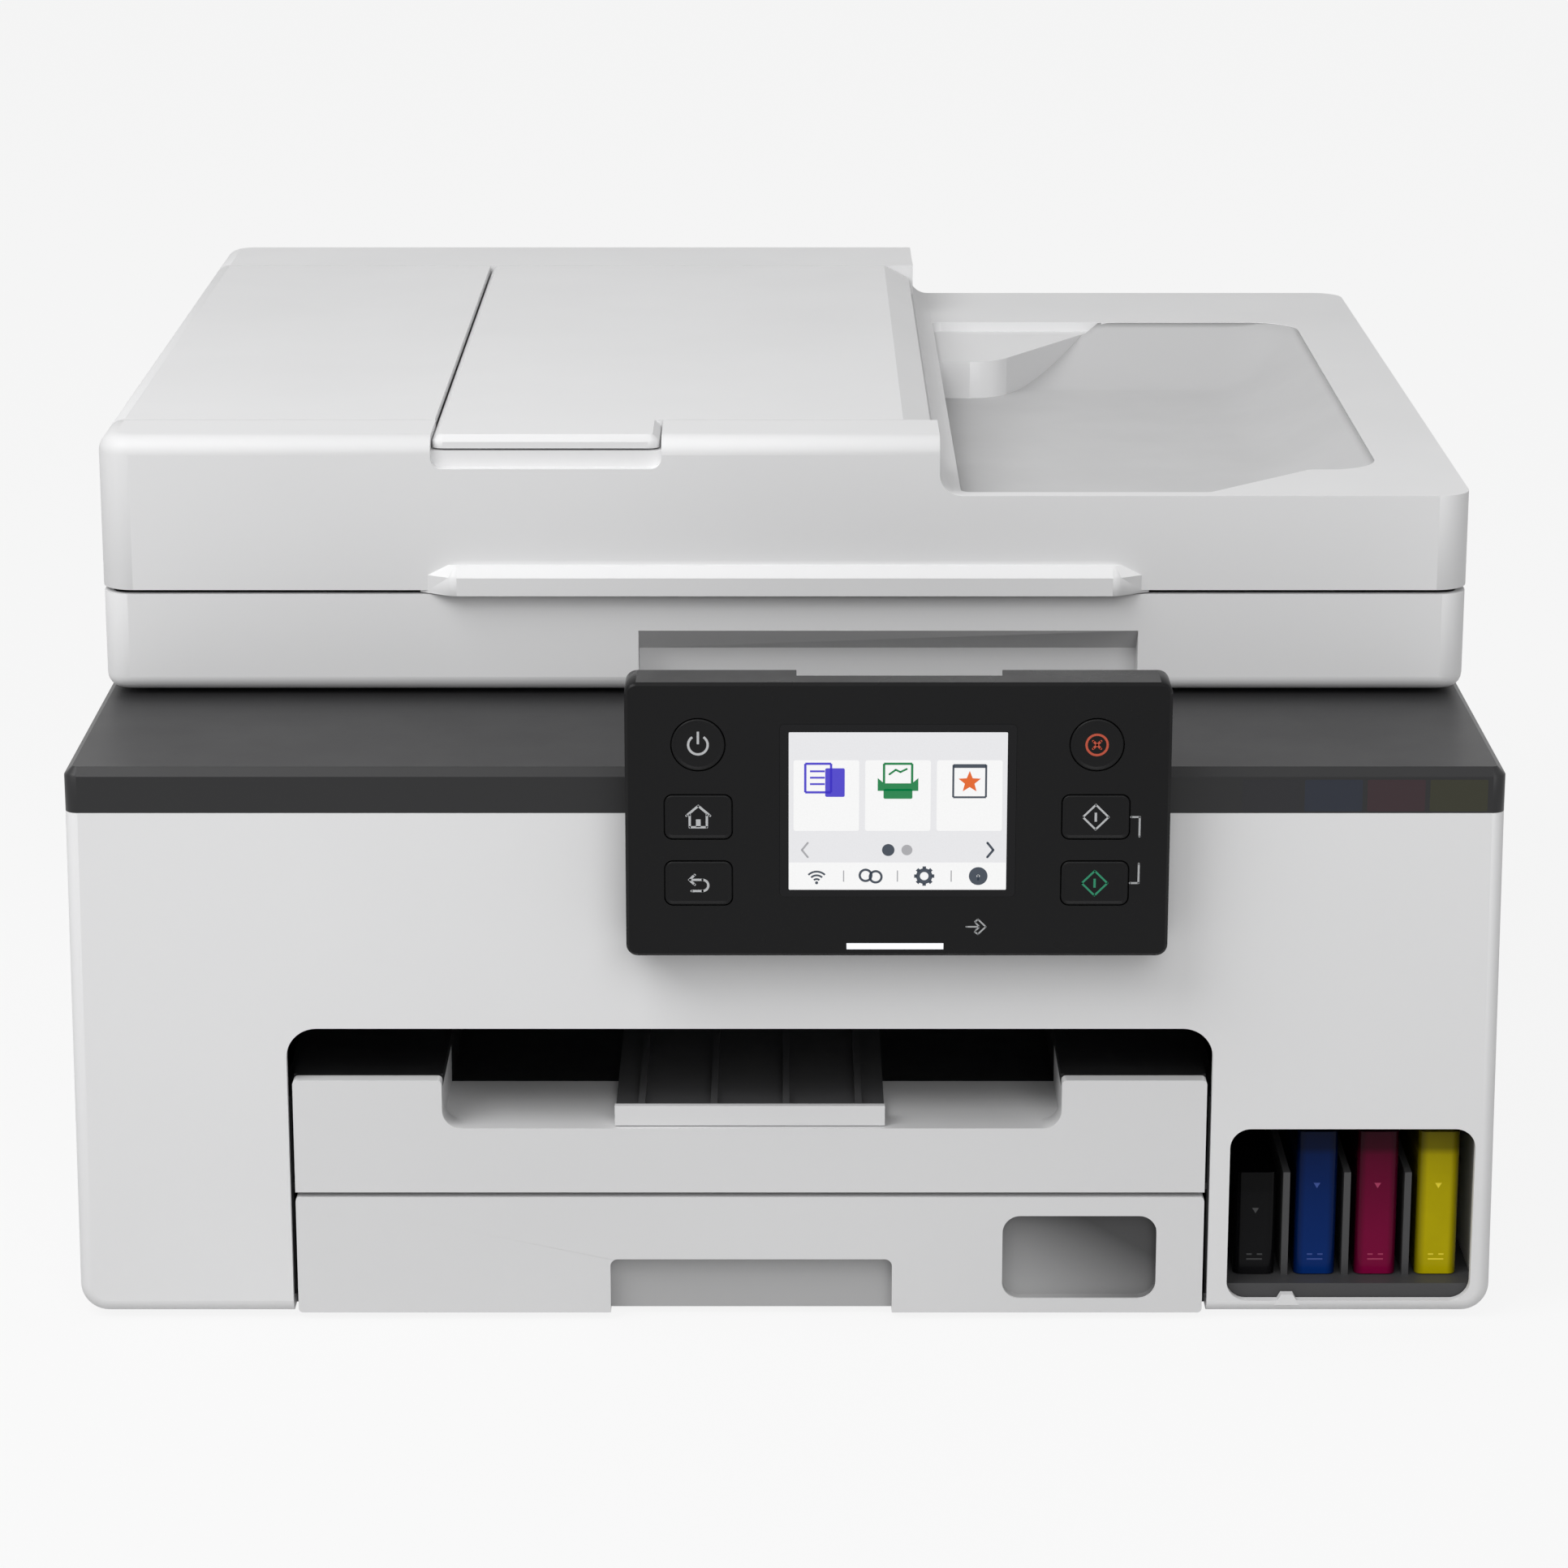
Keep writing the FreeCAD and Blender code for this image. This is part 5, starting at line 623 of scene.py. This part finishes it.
class PRINTER_OT_document_bowl(bpy.types.Operator):
    """Line the document recess with a smooth bowl that rises at the rear and the right"""
    bl_idname = "printer.document_bowl"
    bl_label = "Document Bowl"

    def execute(self, context):
        look = context.scene.printer_looks.shell
        # The bowl is finished in a greyer white as painted shade of the recess.
        finish = moulded("bowl_white", look.bowl, look.grain, relief=0.25)
        bm = bmesh.new()
        low, high = Vector(RECESS_LOW), Vector(RECESS_HIGH)
        size = high - low
        middle = Matrix.Translation(((low.x + high.x) / 2, (low.y + high.y) / 2, low.z))
        bmesh.ops.create_grid(bm, x_segments=48, y_segments=96, size=0.5,
                              matrix=middle @ Matrix.Diagonal((size.x, size.y, 1, 1)))
        made = bmesh.ops.extrude_face_region(bm, geom=bm.faces[:], use_keep_orig=True)
        for vert in new_verts(made):
            vert.co.z = low.z + self.rise(vert.co, low, high)
        bmesh.ops.recalc_face_normals(bm, faces=bm.faces[:])
        for face in bm.faces:
            face.smooth = True
        finish_piece(bm, "document_bowl", finish, "lid")
        return {"FINISHED"}

    def rise(self, place, low, high):
        """Height of the bowl above the recess's floor: flat at first, then curving up to the rim."""
        skin, slope_long, slope_wide, front_rise = 0.0003, 0.046, 0.030, 0.005
        rear_curve, right_curve = 1.7, 1.8
        ledge_edge, ledge_corner, ledge_slant, under_ledge = 0.066, 0.095, 0.63, 0.0112
        rear = max(0, 1 - (high.y - place.y) / slope_long) ** rear_curve
        right = max(0, 1 - (high.x - place.x) / slope_wide) ** right_curve
        valley = high.y - slope_long
        front = front_rise * max(0, (valley - place.y) / (valley - low.y))
        wanted = front + (high.z - low.z - front) * min(1, math.hypot(rear, right))
        if place.x < ledge_edge + max(0, place.y - ledge_corner) * ledge_slant:
            wanted = min(wanted, under_ledge)
        return max(skin, wanted)


class PRINTER_OT_inner_finish(bpy.types.Operator):
    """Give the mechanism inside its steels, rubbers and plain mouldings"""
    bl_idname = "printer.inner_finish"
    bl_label = "Mechanism Finish"

    def execute(self, context):
        look = context.scene.printer_looks.shell
        inner = moulded("inner_moulding", look.inner, look.grain * INNER_GRAIN, gloss=(0.42, 0.55),
                        tone=0.85, relief=0.4)
        give(("cassette_tray", "side_guide_left", "side_guide_right", "platen", "purge_unit", "pickup_arm",
              "carriage", "scanner_frame", "scan_head", "power_inlet"), inner)
        give(("engine_frame", "carriage_rail", "carriage_motor", "power_supply", "scan_rail"),
             drawn_steel("plated_steel", (0.58, 0.59, 0.61)))
        rubber = moulded("roller_rubber", (0.028, 0.028, 0.030), 0.0005, gloss=(0.62, 0.75), tone=0.8,
                         relief=0.8)
        give(("feed_roller", "eject_roller", "pinch_rollers", "pickup_roller", "adf_feed_roller",
              "adf_pickup_roller", "carriage_belt", "rubber_feet"), rubber)
        bearing = moulded("bearing_plastic", (0.52, 0.50, 0.45), look.grain, gloss=(0.35, 0.45), tone=0.94)
        give(("drive_pulley", "idler_pulley", "scanner_hinge_pins", "lid_hinge_pins"), bearing)
        give(("main_board",), circuit_board("green_board"))
        give(("scanner_glass",), clear_glass("flatbed_glass"))
        foam = moulded("white_foam", (0.82, 0.82, 0.81), 0.0012, gloss=(0.75, 0.85), tone=0.96, relief=0.9)
        give(("lid_pad",), foam)
        return {"FINISHED"}


class PRINTER_OT_ink_finish(bpy.types.Operator):
    """Fill the tanks with ink and print the level marks on them"""
    bl_idname = "printer.ink_finish"
    bl_label = "Ink Tanks"

    def execute(self, context):
        look = context.scene.printer_looks.ink
        cap = moulded("cap_rubber", (0.03, 0.03, 0.032), 0.0005, gloss=(0.55, 0.68), tone=0.85, relief=0.6)
        pale_fade, dark_fade = 0.85, 0.4
        mark_gain, mark_lift = 1.6, 0.02
        for name in INK_COLOURS:
            low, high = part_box("ink_tank_" + name)
            middle = middle_of((low, high), 0)
            top = look.black_level if name == "black" else look.colour_level
            base = tuple(getattr(look, name))
            fade = pale_fade if name == "yellow" else dark_fade
            finish = ink_in_tank("ink_" + name, base, middle, (high[0] - low[0]) / 2, low[2], top, fade)
            give(("ink_tank_" + name,), finish)
            give(("tank_cap_" + name,), cap)
            tone = tuple(min(1, value * mark_gain + mark_lift) for value in base)
            mark = printed("level_mark_" + name, tone)
            print_mark("level_marks_" + name, mark, "chassis", low[1], look.mark_height,
                       lambda bm: self.draw_levels(bm, top - low[2]), (middle, low[2]))
        return {"FINISHED"}

    def draw_levels(self, bm, depth):
        """An arrow part of the way up the ink, and a low line with two short ones over it."""
        arrow_share, half_arrow, arrow_tip = 0.62, 0.0009, 0.0006
        lower, upper, reach, gap, width = 0.0042, 0.0056, 0.0021, 0.0007, 0.0004
        arrow = depth * arrow_share
        top = arrow + half_arrow
        shape(bm, [(-half_arrow, top), (0, arrow - arrow_tip), (half_arrow, top)])
        bar(bm, -reach, lower, reach, lower, width)
        bar(bm, -reach, upper, -gap, upper, width)
        bar(bm, gap, upper, reach, upper, width)


class PRINTER_OT_panel_keys(bpy.types.Operator):
    """Make the dished keys with their icons"""
    bl_idname = "printer.panel_keys"
    bl_label = "Panel Keys"

    def execute(self, context):
        look = context.scene.printer_looks.panel
        shell = context.scene.printer_looks.shell
        rubber = moulded("key_black", shell.panel, shell.grain, gloss=(0.30, 0.40), tone=0.85, relief=0.25,
                         shine=0.14)
        pale = printed("icon_pale", tuple(look.icon))
        inks = {"stop": printed("icon_red", tuple(look.stop)),
                "start_colour": printed("icon_green", tuple(look.start))}
        for name in KEYS:
            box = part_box("button_" + name)
            key = self.make_key(name, box, look, rubber)
            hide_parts("button_" + name)
            face = box[0][1] + look.dish
            print_mark("icon_" + name, inks.get(name, pale), "key_" + name, face,
                       look.print_height, getattr(self, "draw_" + name), front_middle(box))
        return {"FINISHED"}

    def make_key(self, name, box, look, material):
        """One key: a plate with a round edge, dished in front, and a flange behind."""
        flange, corner, rim = 0.001, 0.002, 0.0006
        low, high = box
        bm = bmesh.new()
        self.outline(bm, name, box, flange, corner)
        thicken(bm, high[1] - low[1])
        bm.normal_update()
        top = round_top(bm, look.key_round, 4)
        bmesh.ops.inset_region(bm, faces=[top], thickness=rim, depth=0)
        bmesh.ops.translate(bm, verts=top.verts[:], vec=(0, 0, -look.dish))
        stand_up(bm, high[1])
        self.add_flange(bm, name, box, flange, corner)
        return finish_piece(bm, "key_cap_" + name, material, "key_" + name)

    def add_flange(self, bm, name, box, flange, corner):
        """A wider plate behind the panel's wall that keeps the key in."""
        flange_rear = 0.0038
        plate = bmesh.new()
        self.outline(plate, name, box, 0, corner + flange)
        thicken(plate, flange)
        stand_up(plate, box[0][1] + flange_rear)
        join(bm, plate)

    def outline(self, bm, name, box, inset, corner):
        """A key's outline: a circle, or a rectangle with round corners."""
        low, high = box
        x, z = front_middle(box)
        wide, tall = high[0] - low[0] - 2 * inset, high[2] - low[2] - 2 * inset
        if name in ROUND_KEYS:
            disc(bm, x, z, wide / 2, 64)
        else:
            rounded(bm, x, z, wide, tall, corner)

    def draw_power(self, bm):
        """An open ring and a stroke."""
        ring(bm, 0, 0, 0.0025, STROKE, 125, 290)
        bar(bm, 0, 0.0002, 0, 0.0035, STROKE)

    def draw_home(self, bm):
        """A small house."""
        line(bm, [(-0.0030, 0.0004), (0, 0.0030), (0.0030, 0.0004)], STROKE)
        line(bm, [(-0.0022, 0.0006), (-0.0022, -0.0027), (0.0022, -0.0027), (0.0022, 0.0006)], STROKE)
        bar(bm, 0, -0.0027, 0, -0.0006, 2 * STROKE)

    def draw_back(self, bm):
        """An arrow that turns back to the left."""
        line(bm, [(-0.0022, 0.0009), (0.0010, 0.0009)], STROKE)
        ring(bm, 0.0010, -0.0006, 0.0015, STROKE, -90, 180)
        line(bm, [(0.0010, -0.0021), (-0.0018, -0.0021)], STROKE)
        line(bm, [(-0.0010, 0.0022), (-0.0024, 0.0009), (-0.0010, -0.0004)], STROKE)

    def draw_stop(self, bm):
        """A cross in a ring."""
        ring(bm, 0, 0, 0.0027, STROKE)
        line(bm, [(-0.0010, -0.0010), (0.0010, 0.0010)], STROKE)
        line(bm, [(-0.0010, 0.0010), (0.0010, -0.0010)], STROKE)

    def draw_diamond(self, bm):
        """A diamond round a stroke."""
        reach = 0.0033
        line(bm, [(-reach, 0), (0, reach), (reach, 0), (0, -reach), (-reach, 0)], 0.0005)
        bar(bm, 0, -0.0012, 0, 0.0012, STROKE)

    draw_start_black = draw_diamond
    draw_start_colour = draw_diamond


class PRINTER_OT_panel_screen(bpy.types.Operator):
    """Light the display with a plain page of tiles and icons"""
    bl_idname = "printer.panel_screen"
    bl_label = "Display Page"

    # Places from the middle of the page's foot: the outer tiles, the dots under them and the lowest signs.
    tile_step = 0.01835
    dots_row = 0.0107
    foot_row = 0.0037

    def execute(self, context):
        look = context.scene.printer_looks.panel
        shell = context.scene.printer_looks.shell
        bezel = moulded("display_bezel", (0.004, 0.004, 0.005), shell.grain, gloss=(0.08, 0.14), tone=0.9,
                        relief=0.05, shine=0.2)
        give(("panel_display",), bezel)
        give(("status_light",), printed("light_bar", (0.95, 0.96, 1.0), 0.9))
        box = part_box("panel_display")
        page_margin = 0.0019
        page_foot = middle_of(box, 0), box[0][2] + page_margin
        marks = (("screen_page", 0, "page_pale", look.page, self.draw_page),
                 ("screen_tiles", 1, "tile_white", (1.0, 1.0, 1.0), self.draw_tiles),
                 ("screen_ink", 2, "page_ink", (0.045, 0.06, 0.085), self.draw_ink),
                 ("screen_grey", 2, "page_grey", (0.42, 0.42, 0.44), self.draw_grey),
                 ("tile_copy", 2, "tile_blue", (0.07, 0.05, 0.62), self.draw_copy),
                 ("tile_scan", 2, "tile_green", (0.0, 0.22, 0.06), self.draw_scan),
                 ("tile_star", 2, "tile_orange", (0.80, 0.13, 0.01), self.draw_star))
        for name, layer, finish, tone, draw in marks:
            material = printed(finish, tuple(tone), look.glow)
            face = box[0][1] - layer * look.print_height
            print_mark(name, material, "control_panel", face, look.print_height, draw,
                       page_foot)
        return {"FINISHED"}

    def draw_page(self, bm):
        """The page's pale ground."""
        wide, tall, corner = 0.0560, 0.0420, 0.0003
        rounded(bm, 0, tall / 2, wide, tall, corner)

    def draw_tiles(self, bm):
        """Three tiles and the white strip along the page's foot."""
        for x in (-self.tile_step, 0, self.tile_step):
            rounded(bm, x, 0.0252, 0.0168, 0.0188, 0.0006)
        rounded(bm, 0, self.foot_row, 0.0558, 0.0072, 0.0002)

    def draw_copy(self, bm):
        """A full sheet behind an outlined one with three lines."""
        x, z = -self.tile_step, 0.0291
        left, right, low, high = x - 0.0054, x + 0.0012, z - 0.0030, z + 0.0046
        rounded(bm, x + 0.0022, z - 0.0004, 0.0050, 0.0076, 0.0004)
        for level in (high, low):
            bar(bm, left, level, right, level, 0.0006)
        for side in (left, right):
            bar(bm, side, low, side, high, 0.0006)
        for step in range(3):
            row = z + 0.0026 - step * 0.0017
            bar(bm, x - 0.0042, row, x - 0.0004, row, 0.0005)

    def draw_scan(self, bm):
        """A sheet with a drawn line that goes into a flat box."""
        z, half, half_box = 0.0285, 0.0036, 0.0052
        for side in (-half, half):
            bar(bm, side, z, side, z + 0.0052, 0.0006)
        bar(bm, -half, z + 0.0052, half, z + 0.0052, 0.0006)
        line(bm, [(-0.0022, z + 0.0024), (-0.0006, z + 0.0036), (0.0006, z + 0.0030), (0.0022, z + 0.0038)],
             0.0005)
        shape(bm, [(-half_box, z + 0.0014), (-half, z), (half, z), (half_box, z + 0.0014),
                   (half_box, z - 0.0020), (-half_box, z - 0.0020)])
        rounded(bm, 0, z - 0.0028, 0.0074, 0.0026, 0.0004)

    def draw_star(self, bm):
        """A star of five points."""
        x, z = self.tile_step, 0.0288
        outer, inner = 0.0030, 0.0013
        points = []
        for step in range(10):
            angle = math.radians(90 + 36 * step)
            reach = outer if step % 2 == 0 else inner
            points.append((x + reach * math.cos(angle), z + reach * math.sin(angle)))
        shape(bm, points)

    def draw_ink(self, bm):
        """The frame round the star, the dark dot and arrow under the tiles, and the signs at the foot."""
        x, z, half = self.tile_step, 0.0290, 0.0042
        for side in (x - half, x + half):
            bar(bm, side, z - half, side, z + 0.0044, 0.0005)
        bar(bm, x - half, z - half, x + half, z - half, 0.0005)
        bar(bm, x - half, z + 0.0041, x + half, z + 0.0041, 0.0010)
        disc(bm, -0.0024, self.dots_row, 0.0016)
        self.draw_arrow(bm, 1, 0.0006)
        self.draw_foot(bm, self.foot_row)

    def draw_arrow(self, bm, side, width):
        """An open arrow at one side of the row under the tiles."""
        row, half = self.dots_row, 0.0019
        inner, outer = side * 0.0231, side * 0.0246
        line(bm, [(inner, row + half), (outer, row), (inner, row - half)], width)

    def draw_foot(self, bm, row):
        """Four plain signs along the foot of the page: signal, link, cog and information."""
        outer, inner = 0.0208, 0.0069
        for reach in (0.0010, 0.0020, 0.0030):
            ring(bm, -outer, row - 0.0018, reach, 0.0005, 45, 90)
        disc(bm, -outer, row - 0.0018, 0.0004, 16)
        for side in (-1, 1):
            ring(bm, -inner + side * 0.0013, row - side * 0.0002, 0.0015, 0.0006)
        ring(bm, inner, row, 0.0016, 0.0010)
        for step in range(8):
            angle = math.radians(45 * step)
            across, up = math.cos(angle), math.sin(angle)
            bar(bm, inner + 0.0019 * across, row + 0.0019 * up, inner + 0.0026 * across, row + 0.0026 * up,
                0.0009)
        ring(bm, outer, row, 0.0014, 0.0020)
        bar(bm, outer, row - 0.0012, outer, row + 0.0003, 0.0005)

    def draw_grey(self, bm):
        """The pale arrow and dot under the tiles, and the lines between the signs at the foot."""
        self.draw_arrow(bm, -1, 0.0005)
        disc(bm, 0.0024, self.dots_row, 0.0014)
        for x in (-0.01385, 0, 0.01385):
            bar(bm, x, 0.0022, x, 0.0052, 0.0003)


class PRINTER_OT_panel_marks(bpy.types.Operator):
    """Print the small signs on the panel beside the keys"""
    bl_idname = "printer.panel_marks"
    bl_label = "Panel Marks"

    def execute(self, context):
        look = context.scene.printer_looks.panel
        mark_share = 0.8
        pale = printed("mark_pale", tuple(value * mark_share for value in look.icon))
        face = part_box("panel_case")[0][1]
        marks = (("mark_memory", self.draw_memory, (0.0499, 0.1145)),
                 ("mark_bracket", self.draw_bracket, (0, 0)))
        for name, draw, place in marks:
            print_mark(name, pale, "control_panel", face, look.print_height, draw, place)
        return {"FINISHED"}

    def draw_memory(self, bm):
        """A diamond with an arrow that points into it."""
        reach, width = 0.0020, 0.0004
        line(bm, [(-0.0008, 0.0014), (0, reach), (reach, 0), (0, -reach), (-0.0008, -0.0014)], width)
        line(bm, [(-0.0030, 0), (0.0004, 0)], width)
        line(bm, [(-0.0006, 0.0010), (0.0004, 0), (-0.0006, -0.0010)], width)

    def draw_bracket(self, bm):
        """A bracket that joins the two start keys."""
        black, colour_key = (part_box("button_" + name) for name in ("start_black", "start_colour"))
        x = black[1][0] + 0.0005
        left, right, reach, width = x - 0.0010, x + 0.0012, 0.0052, 0.0005
        for level, end in ((middle_of(black, 2), -reach), (middle_of(colour_key, 2), reach)):
            line(bm, [(left, level), (right, level), (right, level + end)], width)


class PRINTER_OT_deck_marks(bpy.types.Operator):
    """Print the four faint ink colours on the deck's front above the tanks"""
    bl_idname = "printer.deck_marks"
    bl_label = "Deck Marks"

    def execute(self, context):
        shell = context.scene.printer_looks.shell
        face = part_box("top_deck")[0][1]
        low, high, wide, corner, thick = 0.1415, 0.1500, 0.0150, 0.0004, 0.00003
        for name in INK_COLOURS:
            place = middle_of(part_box("ink_tank_" + name), 0), (low + high) / 2
            finish = moulded("deck_" + name, DECK_TONES[name], shell.grain * DECK_GRAIN, **DECK_FINISH)
            print_mark("deck_tone_" + name, finish, "chassis", face, thick,
                       lambda bm: rounded(bm, 0, 0, wide, high - low, corner), place)
        return {"FINISHED"}


class PRINTER_OT_screws(bpy.types.Operator):
    """Set the socket screws under the base"""
    bl_idname = "printer.screws"
    bl_label = "Screws"

    def execute(self, context):
        steel = drawn_steel("screw_steel", (0.32, 0.32, 0.33))
        low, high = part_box("base_pan")
        inset, inner = 0.014, 0.05
        turned = Matrix.Rotation(math.pi, 4, "X")
        bm = bmesh.new()
        for x in (low[0] + inset, -inner, inner, high[0] - inset):
            for y in (low[1] + inset, high[1] - inset):
                self.add_screw(bm, Matrix.Translation((x, y, low[2])) @ turned)
        finish_piece(bm, "screws_below", steel, "chassis")
        return {"FINISHED"}

    def add_screw(self, bm, place):
        """A low round head with a socket."""
        radius, height, edge, rim, socket_depth = 0.0032, 0.0011, 0.0005, 0.0012, 0.0008
        head = bmesh.new()
        disc(head, 0, 0, radius, 32)
        thicken(head, height)
        top = round_top(head, edge, 3)
        bmesh.ops.inset_region(head, faces=[top], thickness=rim, depth=0)
        made = bmesh.ops.extrude_face_region(head, geom=[top])
        bmesh.ops.translate(head, verts=new_verts(made), vec=(0, 0, -socket_depth))
        bmesh.ops.delete(head, geom=[top], context="FACES")
        bmesh.ops.recalc_face_normals(head, faces=head.faces[:])
        bmesh.ops.transform(head, verts=head.verts[:], matrix=place)
        join(bm, head)


def seen_rays(tree):
    """One for rays from the camera, and for those that gloss or glass sends on."""
    rays = tree.nodes.new("ShaderNodeLightPath")
    first = maths(tree, "MAXIMUM", rays.outputs["Is Camera Ray"], rays.outputs["Is Glossy Ray"])
    return maths(tree, "MAXIMUM", first, rays.outputs["Is Transmission Ray"])


def blend(tree, factor, first, second, output):
    """Mix two shaders by a factor and show the result."""
    mix = tree.nodes.new("ShaderNodeMixShader")
    for socket, source in zip(mix.inputs, (factor, first, second)):
        tree.links.new(source, socket)
    tree.links.new(mix.outputs["Shader"], output.inputs["Surface"])


class PRINTER_OT_stage(bpy.types.Operator):
    """Set the floor, the sky, the lamps and the camera"""
    bl_idname = "printer.stage"
    bl_label = "Stage"

    def execute(self, context):
        scene = context.scene
        look = scene.printer_looks.stage
        scene.view_settings.view_transform = "Standard"
        self.make_floor(look)
        self.make_world(scene, look)
        self.make_lamp("key_lamp", (-0.75, -0.75, 1.35), (0, -0.02, 0.12), look.key_power)
        self.make_lamp("fill_lamp", (0.30, -1.50, 1.00), (0, 0, 0.12), look.fill_power)
        self.make_camera(scene, look)
        return {"FINISHED"}

    def make_camera(self, scene, look):
        """The camera in front, tilted down by its pitch."""
        camera = bpy.data.objects.new("camera", bpy.data.cameras.new("camera"))
        camera.data.lens = look.lens
        camera.data.sensor_width = 36
        camera.data.clip_start = 0.01
        camera.location = look.camera
        camera.rotation_euler = (math.pi / 2 - look.pitch, 0, 0)
        scene.collection.objects.link(camera)
        scene.camera = camera

    def make_floor(self, look):
        """A pale floor that is seen as the backdrop with a faint shadow on it."""
        bm = bmesh.new()
        bmesh.ops.create_grid(bm, x_segments=4, y_segments=4, size=6)
        material, tree, shader = blank_material("pale_floor")
        shader.inputs["Base Color"].default_value = (*look.floor, 1)
        shader.inputs["Roughness"].default_value = 0.9
        plain = tree.nodes.new("ShaderNodeEmission")
        plain.inputs["Color"].default_value = (*look.backdrop, 1)
        shown = maths(tree, "MULTIPLY", seen_rays(tree), 1 - look.shadow)
        blend(tree, shown, shader.outputs["BSDF"], plain.outputs["Emission"],
              tree.nodes["Material Output"])
        floor = make_object(bm, "floor", material)

    def make_world(self, scene, look):
        """Soft light all round, seen by the camera as the backdrop."""
        world = bpy.data.worlds.new("soft_sky")
        world.use_nodes = True
        tree = world.node_tree
        soft = tree.nodes["Background"]
        soft.inputs["Color"].default_value = (1, 1, 1, 1)
        soft.inputs["Strength"].default_value = look.world
        plain = tree.nodes.new("ShaderNodeBackground")
        plain.inputs["Color"].default_value = (*(value * SKY_SHARE for value in look.backdrop), 1)
        blend(tree, seen_rays(tree), soft.outputs["Background"],
              plain.outputs["Background"], tree.nodes["World Output"])
        scene.world = world

    def make_lamp(self, name, place, aim, power):
        """A large round lamp that points at its aim."""
        data = bpy.data.lights.new(name, "AREA")
        data.shape = "DISK"
        data.size = LAMP_WIDTH
        data.energy = power
        lamp = bpy.data.objects.new(name, data)
        lamp.location = place
        lamp.rotation_euler = (Vector(aim) - Vector(place)).to_track_quat("-Z", "Y").to_euler()
        bpy.context.scene.collection.objects.link(lamp)


OPERATORS = (
    PRINTER_OT_shell_finish,
    PRINTER_OT_document_bowl,
    PRINTER_OT_inner_finish,
    PRINTER_OT_ink_finish,
    PRINTER_OT_panel_keys,
    PRINTER_OT_panel_screen,
    PRINTER_OT_panel_marks,
    PRINTER_OT_deck_marks,
    PRINTER_OT_screws,
    PRINTER_OT_stage,
)


class PRINTER_PT_looks(bpy.types.Panel):
    """Lists the steps that finish the printer"""
    bl_label = "Printer Looks"
    bl_idname = "PRINTER_PT_looks"
    bl_space_type = "VIEW_3D"
    bl_region_type = "UI"
    bl_category = "Printer"

    def draw(self, context):
        for step in OPERATORS:
            self.layout.operator(step.bl_idname)


SETTINGS = (ShellSettings, PanelSettings, InkSettings, StageSettings, PrinterSettings)
CLASSES = (*SETTINGS, *OPERATORS, PRINTER_PT_looks)


def register():
    for item in CLASSES:
        bpy.utils.register_class(item)
    bpy.types.Scene.printer_looks = PointerProperty(type=PrinterSettings)


def unregister():
    del bpy.types.Scene.printer_looks
    for item in reversed(CLASSES):
        bpy.utils.unregister_class(item)


def main():
    """Run every step."""
    register()
    for step in OPERATORS:
        group, name = step.bl_idname.split(".")
        getattr(getattr(bpy.ops, group), name)()


if __name__ == "__main__":
    main()
